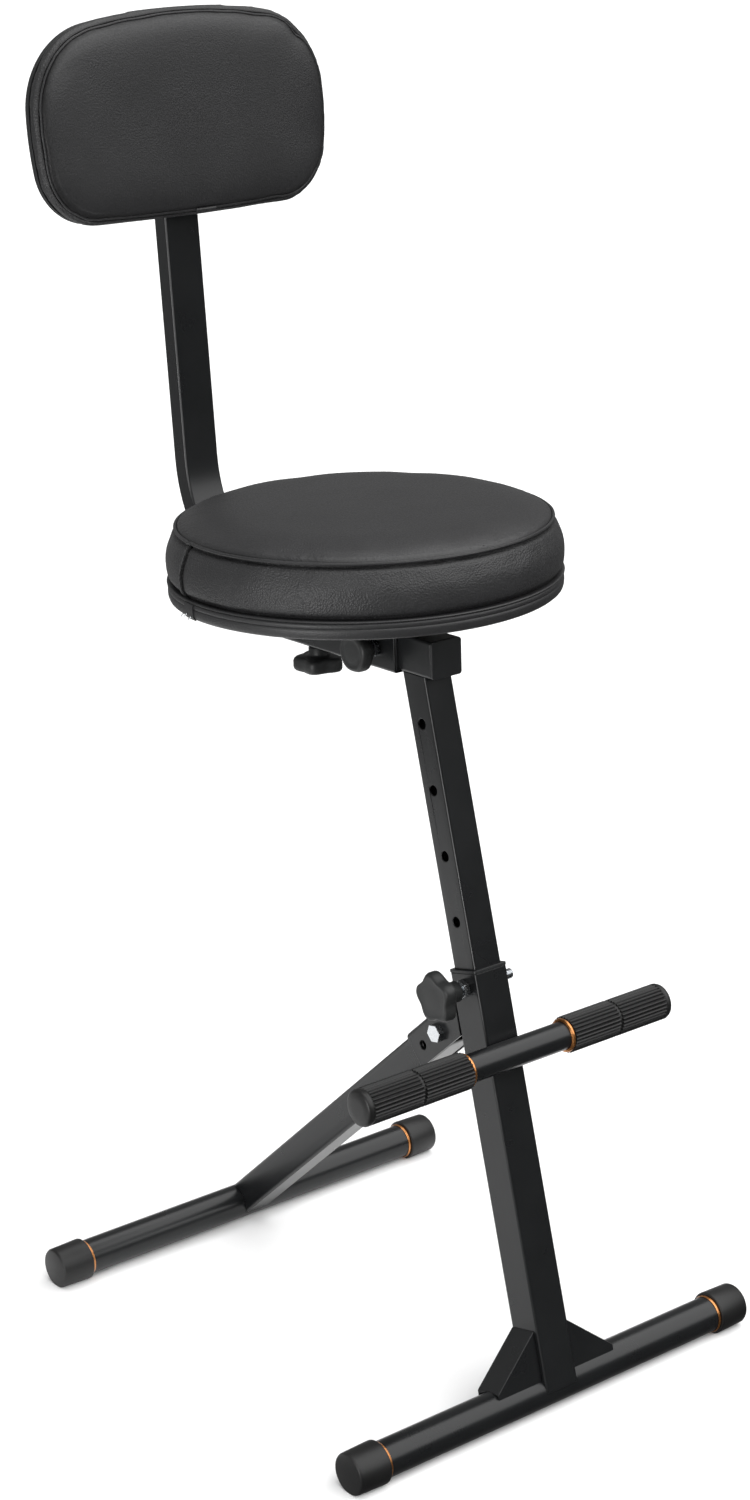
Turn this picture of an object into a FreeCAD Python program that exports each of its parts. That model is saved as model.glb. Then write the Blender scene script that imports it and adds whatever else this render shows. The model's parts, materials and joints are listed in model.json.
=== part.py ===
import FreeCAD, Part
import math
import os

# Guitar stool in millimetres: a leaning telescopic post on a foot bar, a folding rear leg,
# a footrest, a round padded seat and a padded backrest on a bent bar.
# +Z is up, the floor is Z = 0 and the sitter faces -Y, so -X is the sitter's right.

# Foot bars
foot_bar_length = 486.0
foot_tube_d = 35.0
round_wall = 1.5
base_depth = 476.0
front_foot_y = -288.6
cap_d = 38.5
cap_length = 35.0
cap_end = 4.0
cap_rim = 2.5
cap_flat = 0.6
ring_width = 4.0
ring_d = 37.4
push_gap = 0.05

# Telescopic post: lengths run up the post from the axis of the front foot bar
post_lean = 15.9
lower_size = 38.0
upper_size = 32.0
square_wall = 1.5
square_corner = 3.0
lower_top = 404.0
lip_height = 3.0
lip_overhang = 0.4
bushing_depth = 60.0
upper_bottom = 308.0
glide_collar = 12.0
glide_insert = 22.0
lock_height = 390.0
hole_pitch = 62.0
hole_count = 5
post_hole_d = 10.0
slide_gap = 0.1

# Gussets between the lower post and the front foot bar
gusset_top = 61.0
gusset_toe = 17.0
gusset_reach = 53.0
gusset_depth = 31.0
gusset_shift = 2.0
gusset_sheet = 2.5

# Footrest
footrest_height = 325.7
footrest_tube_d = 27.0
footrest_length = 371.0
grip_d = 35.4
grip_start = 62.0
grip_ribs = 28
grip_rib_depth = 1.0
grip_rib_foot = 0.45
grip_rib_crest = 0.2
grip_waist = 3.0
grip_dome = 4.0
rest_ring_width = 4.5
rest_ring_d = 33.6

# Rear leg and its bracket
pivot_height = 344.6
pivot_setback = 51.9
leg_size = 32.0
bracket_sheet = 3.0
bracket_side_gap = 0.3
bracket_top_gap = 0.15
bracket_bend = 4.0
bracket_end = 49.0
bracket_drop = 16.5
bracket_start = -70.0
lock_hole_reach = 31.0
lock_hole_d = 9.0

# Screws and knobs
bolt_r = 5.0
stud_r = 4.9
stud_gap = 0.05
hex_flats = 16.0
hex_height = 7.0
bolt_head = 6.4
bolt_tip = 2.0
stud_hole_r = 5.3
star_d = 48.0
star_valley_d = 34.0
star_lobe_r = 7.5
star_lobes = 5
star_thickness = 13.0
star_edge = 2.5
hub_d = 20.0
knob_skin = 5.0
height_travel = 3.0
height_hub = 16.0
height_tip_gap = 0.4
far_end_reach = 36.0
side_hub = 7.0
clamp_hub = 9.0
side_nut_height = 6.0
clamp_nut_height = 5.0
seated_gap = 0.8
tip_gap = 0.2

# Seat: its own frame has its origin at the middle of the board's underside
seat_y = -12.9
seat_z = 736.3
seat_tilt = 2.8
board_r = 173.0
board_thickness = 12.0
trim_r = 184.0
trim_top = 16.0
trim_wrap = 1.5
trim_lip_r = 150.0
trim_edge = 2.0
trim_bulge = 0.5
trim_top_inset = 1.0
seam_r = 177.0
seam_height = 64.0
crown_height = 80.0
cushion_base_inset = 1.0
band_foot_inset = 2.0
band_foot = 10.0
band_shoulder = 20.0
seam_tuck = (1.5, 4.0)
crown_steps = ((3.0, 0.38), (15.0, 0.68), (50.0, 0.88))

# Head of the upper post and the receiver under the seat
head_size = 35.0
head_wall = 2.0
head_front = -112.0
head_back = 4.0
head_bottom = -63.5
plug_plate = 2.5
plug_insert = 15.0
receiver_front = -66.5
receiver_back = 104.0
receiver_width = 45.0
receiver_wall = 2.0
liner_gap = 0.1
head_play = 0.4
side_screw_y = -38.0
side_screw_z = -46.5
clamp_screw_y = 76.0
saddle_sheet = 2.5
saddle_width = 30.0
saddle_span = 78.0
saddle_shoulder = 48.0
saddle_floor = 20.0
saddle_bend = 5.0
saddle_places = (-30.0, 70.0)
seat_screw_x = 63.0
seat_screw_r = 2.4
seat_screw_flats = 8.0
seat_screw_head = 3.5
seat_screw_play = 0.3
seat_screw_skin = 2.0

# Backrest: its own frame has its origin on the bar's front face at the middle of the pad
back_y = 280.6
back_z = 1140.5
back_lean = 6.2
bar_width = 40.0
bar_thickness = 20.0
bar_wall = 1.5
bar_edge = 2.0
plug_corner = 1.0
bar_plug_plate = 2.0
bar_plug_insert = 12.0
bar_bend = 131.0
bar_front = 26.0
bar_roof_gap = 0.3
bar_top = 55.0
pad_half_width = 169.0
pad_half_height = 98.5
pad_top_bow = 630.0
pad_bottom_bow = 3000.0
pad_upper_side_bow = 400.0
pad_lower_side_bow = 330.0
pad_upper_corner = 83.0
pad_lower_corner = 60.0
back_cover_depth = 8.0
back_board_inset = 10.0
back_board_thickness = 6.5
pad_seam_depth = 21.5
pad_edge_inset = 1.6
pad_bulge_depth = 5.0
pad_seam_shoulder = (0.5, 3.0)
pad_seam_inset = 2.4
pad_crown_steps = ((4.2, 3.0), (11.0, 7.6), (26.0, 11.6), (50.0, 13.6))
cover_back_inset = 6.0
cover_edge = (1.8, 2.2)
back_screw_spread = 35.0
back_screw_r = 2.9
back_screw_head_r = 6.0
back_screw_head = 3.0
back_screw_play = 0.2

X_AXIS = FreeCAD.Vector(1, 0, 0)
Y_AXIS = FreeCAD.Vector(0, 1, 0)
Z_AXIS = FreeCAD.Vector(0, 0, 1)
ORIGIN = FreeCAD.Vector(0, 0, 0)
SIDES = {"right": -1, "left": 1}
TOLERANCE = 0.01


# Frames of the leaning post, the leg, the seat and the backrest

def leaning_frame(y, z, lean):
    """Frame at (0, y, z) whose own Z axis leans back by the given angle."""
    return FreeCAD.Placement(FreeCAD.Vector(0, y, z), FreeCAD.Rotation(X_AXIS, -lean))


foot_z = cap_d / 2 - cap_flat
rear_foot_y = front_foot_y + base_depth
post_frame = leaning_frame(front_foot_y, foot_z, post_lean)
seat_frame = leaning_frame(seat_y, seat_z, seat_tilt)
back_frame = leaning_frame(back_y, back_z, back_lean)

pivot = post_frame.multVec(FreeCAD.Vector(0, pivot_setback, pivot_height))
leg_length = math.hypot(rear_foot_y - pivot.y, pivot.z - foot_z)
leg_drop = math.degrees(math.atan2(pivot.z - foot_z, rear_foot_y - pivot.y))
leg_frame = leaning_frame(pivot.y, pivot.z, leg_drop)

# Turns from a shape's own Z axis to the axis it runs along
TO_Y = FreeCAD.Placement(ORIGIN, FreeCAD.Rotation(X_AXIS, -90))
TO_SIDE = {side: FreeCAD.Placement(ORIGIN, FreeCAD.Rotation(Y_AXIS, 90 * side)) for side in (-1, 1)}
SHEET_ACROSS = FreeCAD.Placement(ORIGIN, FreeCAD.Rotation(X_AXIS, 90))
SHEET_UPRIGHT = FreeCAD.Placement(ORIGIN, FreeCAD.Rotation(FreeCAD.Vector(1, 1, 1), 120))


def at(x, y, z):
    return FreeCAD.Placement(FreeCAD.Vector(x, y, z), FreeCAD.Rotation())


def placed(shape, *placements):
    """A copy of the shape, moved by the placements from last to first."""
    moved = shape.copy()
    for placement in reversed(placements):
        moved.Placement = placement.multiply(moved.Placement)
    return moved


def save(name, shape):
    shape.exportStep("parts/%s.step" % name)
    print("%-22s solids %d  volume %8.0f  valid %s" % (name, len(shape.Solids), shape.Volume, shape.isValid()))


# Basic shapes

def line(start, end):
    return Part.LineSegment(start, end).toShape()


def arc(start, middle, end):
    return Part.Arc(start, middle, end).toShape()


def cylinder_x(radius, x0, x1, y=0.0, z=0.0):
    return Part.makeCylinder(radius, x1 - x0, FreeCAD.Vector(x0, y, z), X_AXIS)


def cylinder_z(radius, z0, z1, x=0.0, y=0.0):
    return Part.makeCylinder(radius, z1 - z0, FreeCAD.Vector(x, y, z0), Z_AXIS)


def block(x0, x1, y0, y1, z0, z1):
    return Part.makeBox(x1 - x0, y1 - y0, z1 - z0, FreeCAD.Vector(x0, y0, z0))


def hexagon_z(flats, z0, z1, bore_r=0.0):
    corner = flats / math.sqrt(3)
    angles = [math.radians(60 * i) for i in range(7)]
    points = [FreeCAD.Vector(corner * math.cos(a), corner * math.sin(a), z0) for a in angles]
    prism = Part.Face(Part.makePolygon(points)).extrude(Z_AXIS * (z1 - z0))
    if bore_r:
        prism = prism.cut(cylinder_z(bore_r, z0, z1))
    return prism


def profile(start, *steps):
    """Closed wire in the XZ plane: a step is a point, or a middle and an end point of an arc."""
    def space(point):
        return FreeCAD.Vector(point[0], 0, point[1])

    edges = []
    here = start
    for step in steps:
        if isinstance(step[0], tuple):
            edges.append(arc(space(here), space(step[0]), space(step[1])))
            here = step[1]
        else:
            edges.append(line(space(here), space(step)))
            here = step
    edges.append(line(space(here), space(start)))
    return Part.Wire(edges)


def turned(start, *steps):
    """Solid of revolution about Z from a profile of (radius, height) points."""
    return Part.Face(profile(start, *steps)).revolve(ORIGIN, Z_AXIS, 360)


def rounded_rectangle(width, depth, radius, z):
    corners = [(1, 1), (-1, 1), (-1, -1), (1, -1)]
    edges = []
    ends = []
    for turn, (side_x, side_y) in enumerate(corners):
        centre = FreeCAD.Vector(side_x * (width / 2 - radius), side_y * (depth / 2 - radius), z)
        angles = [math.radians(90 * turn + step) for step in (0, 45, 90)]
        points = [centre + FreeCAD.Vector(math.cos(a), math.sin(a), 0) * radius for a in angles]
        ends.append(points)
    for points, following in zip(ends, ends[1:] + ends[:1]):
        edges.append(arc(*points))
        edges.append(line(points[2], following[0]))
    return Part.Wire(edges)


def rounded_bar(width, depth, radius, z0, z1):
    return Part.Face(rounded_rectangle(width, depth, radius, z0)).extrude(Z_AXIS * (z1 - z0))


def inner_corner(wall):
    """Corner radius inside a square tube, which what is pushed into it shares."""
    return square_corner - wall / 2


def square_tube(width, depth, wall, z0, z1):
    outer = rounded_bar(width, depth, square_corner, z0, z1)
    inner = rounded_bar(width - 2 * wall, depth - 2 * wall, inner_corner(wall), z0, z1)
    return outer.cut(inner)


def round_tube_x(diameter, half_length):
    outer = cylinder_x(diameter / 2, -half_length, half_length)
    return outer.cut(cylinder_x(diameter / 2 - round_wall, -half_length, half_length))


# Bent sheet and bent tube: a strip of even thickness along a polyline with rounded bends

def left_of(start, end):
    along = (end - start).normalize()
    return FreeCAD.Vector(-along.y, along.x, 0)


def offset_path(points, radius, offset):
    """Edges of the polyline with rounded bends, moved to its left by the offset."""
    edges = []
    here = points[0] + left_of(points[0], points[1]) * offset
    for before, corner, after in zip(points, points[1:], points[2:]):
        into = (corner - before).normalize()
        out = (after - corner).normalize()
        turn = math.atan2(into.x * out.y - into.y * out.x, into.dot(out))
        side = math.copysign(1, turn)
        reach = radius * math.tan(abs(turn) / 2)
        left_in = left_of(before, corner)
        left_out = left_of(corner, after)
        centre = corner - into * reach + left_in * radius * side
        arc_start = corner - into * reach + left_in * offset
        arc_end = corner + out * reach + left_out * offset
        arc_middle = centre - (left_in + left_out).normalize() * (side * radius - offset)
        edges.append(line(here, arc_start))
        edges.append(arc(arc_start, arc_middle, arc_end))
        here = arc_end
    edges.append(line(here, points[-1] + left_of(points[-2], points[-1]) * offset))
    return edges


def bent_strip(points, radius, thickness, width):
    """The strip lies in its own XY plane and is centred on it."""
    path = [FreeCAD.Vector(x, y, -width / 2) for x, y in points]
    one = offset_path(path, radius, thickness / 2)
    other = offset_path(path, radius, -thickness / 2)
    end_cap = line(one[-1].lastVertex().Point, other[-1].lastVertex().Point)
    start_cap = line(other[0].firstVertex().Point, one[0].firstVertex().Point)
    wire = Part.Wire(one + [end_cap] + other[::-1] + [start_cap])
    return Part.Face(wire).extrude(Z_AXIS * width)


# Screws and star knobs, each along its own Z axis, pointing out of what it is screwed into

def star_wire(z):
    """Outline of lobes and valleys as tangent arcs."""
    half_step = math.pi / star_lobes
    lobe_at = star_d / 2 - star_lobe_r
    valley = star_valley_d / 2
    spread = lobe_at * math.cos(half_step)
    shortfall = lobe_at ** 2 + valley ** 2 - 2 * valley * spread - star_lobe_r ** 2
    valley_r = shortfall / (2 * (star_lobe_r + spread - valley))

    def polar(radius, angle):
        return FreeCAD.Vector(radius * math.cos(angle), radius * math.sin(angle), z)

    edges = []
    for lobe in range(star_lobes):
        middle = 2 * half_step * lobe
        lobe_centre = polar(lobe_at, middle)
        dips = [polar(valley + valley_r, middle + turn) for turn in (-half_step, half_step)]
        ends = [lobe_centre + (dip - lobe_centre).normalize() * star_lobe_r for dip in dips]
        next_centre = polar(lobe_at, middle + 2 * half_step)
        next_end = next_centre + (dips[1] - next_centre).normalize() * star_lobe_r
        edges.append(arc(ends[0], polar(star_d / 2, middle), ends[1]))
        edges.append(arc(ends[1], polar(valley, middle + half_step), next_end))
    return Part.Wire(edges)


def star_knob(hub_length):
    top = hub_length + star_thickness
    star = Part.Face(star_wire(hub_length)).extrude(Z_AXIS * star_thickness)
    face_edges = [edge for edge in star.Edges if edge.BoundBox.ZMin > top - TOLERANCE]
    star = star.makeChamfer(star_edge, face_edges)
    knob = star.fuse(cylinder_z(hub_d / 2, 0, hub_length)).removeSplitter()
    return knob.cut(cylinder_z(stud_r + stud_gap, 0, top - knob_skin))


def stud(tip, head):
    """Stud from its tip to its end inside the knob."""
    return cylinder_z(stud_r, tip, head)


def knob_end(hub_start, hub_length):
    """Where a stud ends inside its knob."""
    return hub_start + hub_length + star_thickness - knob_skin - seated_gap


# Foot bars with their rubber caps and coloured rings

def foot_tube():
    return round_tube_x(foot_tube_d, foot_bar_length / 2 - cap_end - push_gap)


def foot_cap(side):
    """Cup over the tube's end with a bevelled rim and a small flat to stand on."""
    radius = cap_d / 2
    inside = foot_tube_d / 2 + push_gap
    end = foot_bar_length / 2
    start = end - cap_length
    cup = turned(
        (0, end),
        (radius - cap_rim, end),
        (radius, end - cap_rim),
        (radius, start),
        (inside, start),
        (inside, end - cap_end),
        (0, end - cap_end),
    )
    below = block(-foot_bar_length, foot_bar_length, -radius, radius, -radius, -radius + cap_flat)
    return placed(cup, TO_SIDE[side]).cut(below)


def ring(side, start, width, outer_d, inner_d):
    outer = cylinder_z(outer_d / 2, start, start + width)
    return placed(outer.cut(cylinder_z(inner_d / 2, start, start + width)), TO_SIDE[side])


def ring_pair(start, width, outer_d, tube_d):
    inner_d = tube_d + 2 * push_gap
    return Part.makeCompound([ring(side, start, width, outer_d, inner_d) for side in SIDES.values()])


def build_foot(prefix, y):
    here = at(0, y, foot_z)
    ring_start = foot_bar_length / 2 - cap_length - ring_width
    caps = Part.makeCompound([foot_cap(side) for side in SIDES.values()])
    save(prefix + "_foot_tube", placed(foot_tube(), here))
    save(prefix + "_caps", placed(caps, here))
    save(prefix + "_rings", placed(ring_pair(ring_start, ring_width, ring_d, foot_tube_d), here))


# Front frame: the lower post and what is welded or screwed to it

def cross_hole(radius, height):
    return cylinder_x(radius, -lower_size, lower_size, 0, height)


def lower_post():
    tube = square_tube(lower_size, lower_size, square_wall, 0, lower_top)
    saddle = cylinder_x(foot_tube_d / 2, -lower_size, lower_size)
    return tube.cut(saddle).cut(cross_hole(stud_hole_r, lock_height))


def gusset(side):
    """Folded sheet: a sloping top and two cheeks that straddle the foot bar."""
    inner_x = lower_size / 2
    outer_x = inner_x + gusset_reach
    drop = gusset_sheet / math.cos(math.atan2(gusset_top - gusset_toe, gusset_reach))

    def wedge(lowered, depth):
        points = [(inner_x, 0), (outer_x, 0), (outer_x, gusset_toe - lowered), (inner_x, gusset_top - lowered)]
        corners = [FreeCAD.Vector(side * x, gusset_shift - depth / 2, z) for x, z in points + points[:1]]
        return Part.Face(Part.makePolygon(corners)).extrude(Y_AXIS * depth)

    shell = wedge(0, gusset_depth).cut(wedge(drop, gusset_depth - 2 * gusset_sheet))
    return shell.cut(cylinder_x(foot_tube_d / 2, -2 * outer_x, 2 * outer_x))


def post_bushing():
    """Plastic sleeve in the mouth of the lower post, with a lip over its edge."""
    inside = lower_size - 2 * square_wall - 2 * push_gap
    sleeve = rounded_bar(inside, inside, inner_corner(square_wall), lower_top - bushing_depth, lower_top)
    lip_size = lower_size + 2 * lip_overhang
    lip = rounded_bar(lip_size, lip_size, square_corner, lower_top, lower_top + lip_height)
    opening = upper_size + 2 * slide_gap
    way = rounded_bar(opening, opening, square_corner, 0, lower_top + lip_height)
    return sleeve.fuse(lip).removeSplitter().cut(way).cut(cross_hole(stud_hole_r, lock_height))


def footrest_grip(side):
    """Ribbed rubber sleeve with a waist at mid length and a closed bevelled end."""
    end = footrest_length / 2
    rib_r = grip_d / 2
    core_r = rib_r - grip_rib_depth
    rib_step = 2 * math.pi / grip_ribs
    rib = [(-grip_rib_foot, core_r), (-grip_rib_crest, rib_r), (grip_rib_crest, rib_r), (grip_rib_foot, core_r)]
    points = []
    for i in range(grip_ribs):
        for turn, radius in rib:
            angle = (i + turn) * rib_step
            points.append(FreeCAD.Vector(radius * math.cos(angle), radius * math.sin(angle), 0))
    rib_face = Part.Face(Part.makePolygon(points + points[:1]))
    rib_stop = end - 2 * grip_dome
    waist_at = (grip_start + rib_stop) / 2
    waist_r = core_r - grip_rib_depth / 2
    body = turned(
        (0, grip_start),
        (waist_r, grip_start),
        (waist_r, rib_stop),
        (rib_r, rib_stop),
        (rib_r, end - grip_dome),
        (rib_r - grip_dome, end),
        (0, end),
    )
    for start, stop in ((grip_start, waist_at - grip_waist / 2), (waist_at + grip_waist / 2, rib_stop)):
        body = body.fuse(placed(rib_face, at(0, 0, start)).extrude(Z_AXIS * (stop - start)))
    socket = cylinder_z(footrest_tube_d / 2 + push_gap, grip_start, end - cap_end)
    return placed(body.removeSplitter().cut(socket), TO_SIDE[side])


def leg_bracket():
    """Channel over the leg's upper end, cut square against the back of the post."""
    half = leg_size / 2 + bracket_side_gap + bracket_sheet / 2
    top = leg_size / 2 + bracket_top_gap + bracket_sheet / 2
    points = [(-half, -bracket_drop), (-half, top), (half, top), (half, -bracket_drop)]
    length = bracket_end - bracket_start
    channel = bent_strip(points, bracket_bend, bracket_sheet, length)
    channel = placed(channel, at(0, (bracket_end + bracket_start) / 2, 0), SHEET_ACROSS)
    channel = channel.cut(cylinder_x(bolt_r + stud_gap, -lower_size, lower_size))
    channel = channel.cut(cylinder_x(lock_hole_d / 2, -lower_size, lower_size, lock_hole_reach))
    ahead = block(-lower_size, lower_size, -4 * lower_size, lower_size / 2, 0, 2 * lower_top)
    return placed(channel, leg_frame).cut(placed(ahead, post_frame))


def pivot_bolt(outside):
    head = placed(hexagon_z(hex_flats, outside, outside + bolt_head), TO_SIDE[-1])
    return head.fuse(cylinder_x(bolt_r, -outside, outside + hex_height + bolt_tip))


def build_front_frame():
    build_foot("front", front_foot_y)
    save("lower_post", placed(lower_post(), post_frame))
    for name, side in SIDES.items():
        save("gusset_" + name, placed(gusset(side), post_frame))
    save("post_bushing", placed(post_bushing(), post_frame))

    lock_axis = at(0, 0, lock_height)
    nut_span = (lower_size / 2, lower_size / 2 + hex_height)
    nut = hexagon_z(hex_flats, *nut_span, stud_r + stud_gap)
    far_end = cylinder_z(stud_r, upper_size / 2 + height_tip_gap, far_end_reach)
    save("height_nut", placed(nut, post_frame, lock_axis, TO_SIDE[-1]))
    save("far_nut", placed(nut, post_frame, lock_axis, TO_SIDE[1]))
    save("far_bolt_end", placed(far_end, post_frame, lock_axis, TO_SIDE[1]))

    footrest_at = at(0, -(lower_size + footrest_tube_d) / 2, footrest_height)
    rest_tube = round_tube_x(footrest_tube_d, footrest_length / 2 - cap_end - push_gap)
    save("footrest_tube", placed(rest_tube, post_frame, footrest_at))
    rest_rings = ring_pair(grip_start - rest_ring_width, rest_ring_width, rest_ring_d, footrest_tube_d)
    save("footrest_rings", placed(rest_rings, post_frame, footrest_at))
    for name, side in SIDES.items():
        save("footrest_grip_" + name, placed(footrest_grip(side), post_frame, footrest_at))

    outside = leg_size / 2 + bracket_side_gap + bracket_sheet
    locknut = hexagon_z(hex_flats, outside, outside + hex_height, bolt_r + stud_gap)
    save("leg_bracket", leg_bracket())
    save("pivot_bolt", placed(pivot_bolt(outside), leg_frame))
    save("pivot_locknut", placed(locknut, leg_frame, TO_SIDE[1]))


# Rear leg

def rear_leg_tube():
    """Square tube with a rounded upper end, saddled over the rear foot bar."""
    half = leg_size / 2
    tube = placed(square_tube(leg_size, leg_size, square_wall, -half, leg_length), TO_Y)
    shoulder = half - square_corner
    corners = [(shoulder, -half), (half, -shoulder), (half, shoulder), (shoulder, half)]
    end = turned((0, -half), *corners, (0, half))
    keep = placed(end, TO_SIDE[1]).fuse(block(-leg_size, leg_size, 0, leg_length, -leg_size, leg_size))
    tube = tube.common(keep)
    tube = tube.cut(cylinder_x(foot_tube_d / 2, -leg_size, leg_size, leg_length))
    tube = tube.cut(cylinder_x(bolt_r + stud_gap, -leg_size, leg_size))
    return tube.cut(cylinder_x(lock_hole_d / 2, -leg_size, leg_size, lock_hole_reach))


def build_rear_leg():
    build_foot("rear", rear_foot_y)
    save("rear_leg_tube", placed(rear_leg_tube(), leg_frame))


# Upper post with its head tube

def upper_post():
    """Tube with a row of height holes, cut off at the underside of the head tube."""
    tube = square_tube(upper_size, upper_size, square_wall, upper_bottom, 2 * lower_top)
    for step in range(hole_count):
        tube = tube.cut(cross_hole(post_hole_d / 2, lock_height + step * hole_pitch))
    above = block(-lower_size, lower_size, -2 * lower_top, 2 * lower_top, head_bottom, lower_top)
    return placed(tube, post_frame).cut(placed(above, seat_frame))


def post_glide():
    collar_size = lower_size - 2 * square_wall - 4 * slide_gap
    insert_size = upper_size - 2 * square_wall - 2 * slide_gap
    collar = rounded_bar(collar_size, collar_size, square_corner, upper_bottom - glide_collar, upper_bottom)
    insert_top = upper_bottom + glide_insert
    insert = rounded_bar(insert_size, insert_size, inner_corner(square_wall), upper_bottom, insert_top)
    return collar.fuse(insert).removeSplitter()


def head_plug():
    plate = rounded_bar(head_size, head_size, square_corner, head_front - plug_plate, head_front)
    insert_size = head_size - 2 * head_wall - 2 * slide_gap
    insert_end = head_front + plug_insert
    insert = rounded_bar(insert_size, insert_size, inner_corner(head_wall), head_front, insert_end)
    return plate.fuse(insert).removeSplitter()


def head_liner():
    """Plastic sleeve that fills the receiver around the head tube."""
    width = receiver_width - 2 * receiver_wall - 2 * liner_gap
    height = head_size + 2 * head_play - 2 * liner_gap
    bore = head_size + 2 * push_gap
    outer = rounded_bar(width, height, inner_corner(receiver_wall), receiver_front, head_back)
    return outer.cut(rounded_bar(bore, bore, square_corner, receiver_front, head_back))


def build_seat_post():
    head_axis = at(0, 0, head_bottom + head_size / 2)
    head = square_tube(head_size, head_size, head_wall, head_front, head_back)
    save("upper_post", upper_post())
    save("post_glide", placed(post_glide(), post_frame))
    save("head_tube", placed(head, seat_frame, head_axis, TO_Y))
    save("head_plug", placed(head_plug(), seat_frame, head_axis, TO_Y))
    save("head_liner", placed(head_liner(), seat_frame, head_axis, TO_Y))


# Seat: receiver, saddles, board, edge trim and cushion

receiver_middle = head_bottom + head_size / 2
receiver_height = head_size + 2 * head_play + 2 * receiver_wall
receiver_floor = receiver_middle - receiver_height / 2
receiver_roof = receiver_middle + receiver_height / 2


def receiver_tube():
    tube = square_tube(receiver_width, receiver_height, receiver_wall, receiver_front, receiver_back)
    tube = placed(tube, at(0, 0, receiver_middle), TO_Y)
    side_hole = cylinder_x(stud_hole_r, -receiver_width, 0, side_screw_y, side_screw_z)
    floor_hole = cylinder_z(stud_hole_r, receiver_floor, receiver_middle, 0, clamp_screw_y)
    return tube.cut(side_hole).cut(floor_hole)


def saddle(y):
    """Bent strip that carries the board on the receiver's roof."""
    low = receiver_roof + saddle_sheet / 2
    high = -saddle_sheet / 2
    half = [(saddle_floor, low), (saddle_shoulder, high), (saddle_span, high)]
    points = [(-x, z) for x, z in reversed(half)] + half
    strip = placed(bent_strip(points, saddle_bend, saddle_sheet, saddle_width), at(0, y, 0), SHEET_ACROSS)
    for side in SIDES.values():
        strip = strip.cut(cylinder_z(seat_screw_r + seat_screw_play, -saddle_sheet, 0, side * seat_screw_x, y))
    return strip


def seat_screw(x, y):
    head = hexagon_z(seat_screw_flats, -saddle_sheet - seat_screw_head, -saddle_sheet)
    shank = cylinder_z(seat_screw_r, -saddle_sheet, board_thickness - seat_screw_skin)
    return placed(head.fuse(shank), at(x, y, 0))


def seat_board():
    board = cylinder_z(board_r, 0, board_thickness)
    hole_r = seat_screw_r + push_gap
    for y in saddle_places:
        for side in SIDES.values():
            board = board.cut(cylinder_z(hole_r, 0, board_thickness - seat_screw_skin, side * seat_screw_x, y))
    return board


def seat_trim():
    """Edge band around the board, wrapped under its rim."""
    inner = board_r + push_gap
    return turned(
        (trim_lip_r, -trim_wrap),
        (trim_r - trim_edge, -trim_wrap),
        (trim_r, -trim_wrap + trim_edge),
        (trim_r + trim_bulge, trim_top / 2),
        (trim_r - trim_top_inset, trim_top),
        (inner, trim_top),
        (inner, -push_gap),
        (trim_lip_r, -push_gap),
    )


def seat_cushion():
    """Boxed cushion: a bulging side band, a drawn-in seam and a crowned top."""
    rise = crown_height - seam_height
    base_r = board_r - cushion_base_inset
    crown = [(seam_r - inset, seam_height + share * rise) for inset, share in crown_steps]
    return turned(
        (0, board_thickness + push_gap),
        (base_r, board_thickness + push_gap),
        (base_r, trim_top + push_gap),
        (trim_r - band_foot_inset, trim_top + push_gap),
        (trim_r, trim_top + band_foot),
        (trim_r, seam_height - band_shoulder),
        (seam_r + seam_tuck[0], seam_height - seam_tuck[1]),
        (seam_r, seam_height),
        *crown,
        (seam_r / 3, crown_height),
        (0, crown_height),
    )


def build_seat():
    side_nut_start = receiver_width / 2
    side_nut = hexagon_z(hex_flats, side_nut_start, side_nut_start + side_nut_height, stud_r + stud_gap)
    clamp_nut = hexagon_z(hex_flats, receiver_floor - clamp_nut_height, receiver_floor, stud_r + stud_gap)
    screws = [seat_screw(side * seat_screw_x, y) for y in saddle_places for side in SIDES.values()]
    save("receiver_tube", placed(receiver_tube(), seat_frame))
    save("saddle_front", placed(saddle(saddle_places[0]), seat_frame))
    save("saddle_rear", placed(saddle(saddle_places[1]), seat_frame))
    save("side_nut", placed(side_nut, seat_frame, at(0, side_screw_y, side_screw_z), TO_SIDE[-1]))
    save("clamp_nut", placed(clamp_nut, seat_frame, at(0, clamp_screw_y, 0)))
    save("seat_board", placed(seat_board(), seat_frame))
    save("seat_trim", placed(seat_trim(), seat_frame))
    save("seat_cushion", placed(seat_cushion(), seat_frame))
    save("seat_screws", placed(Part.makeCompound(screws), seat_frame))


# Backrest: bent bar, plugs, board, back cover and pad

bar_level = receiver_roof - receiver_wall - bar_roof_gap - bar_thickness / 2


def bar_path():
    """Corner points of the bar's centre line in the YZ plane, front end first."""
    front = seat_frame.multVec(FreeCAD.Vector(0, bar_front, bar_level))
    run = seat_frame.Rotation.multVec(Y_AXIS)
    top = back_frame.multVec(FreeCAD.Vector(0, bar_thickness / 2, bar_top))
    rise = back_frame.Rotation.multVec(Z_AXIS)
    gap = front - top
    down = (gap.y * run.z - gap.z * run.y) / (rise.y * run.z - rise.z * run.y)
    corner = top + rise * down
    return [(point.y, point.z) for point in (front, corner, top)]


def backrest_bar():
    path = bar_path()
    outer = bent_strip(path, bar_bend, bar_thickness, bar_width)
    long_edges = []
    for edge in outer.Edges:
        flat = edge.BoundBox.ZLength < TOLERANCE
        if flat and edge.Length > 2 * bar_thickness:
            long_edges.append(edge)
    outer = outer.makeChamfer(bar_edge, long_edges)
    inner = bent_strip(path, bar_bend, bar_thickness - 2 * bar_wall, bar_width - 2 * bar_wall)
    bar = placed(outer.cut(inner), SHEET_UPRIGHT)
    for place in (-back_screw_spread, back_screw_spread):
        hole = cylinder_z(back_screw_r + back_screw_play, -bar_thickness, 2 * bar_thickness)
        bar = bar.cut(placed(hole, back_frame, at(0, 0, place), TO_Y))
    return bar


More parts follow.
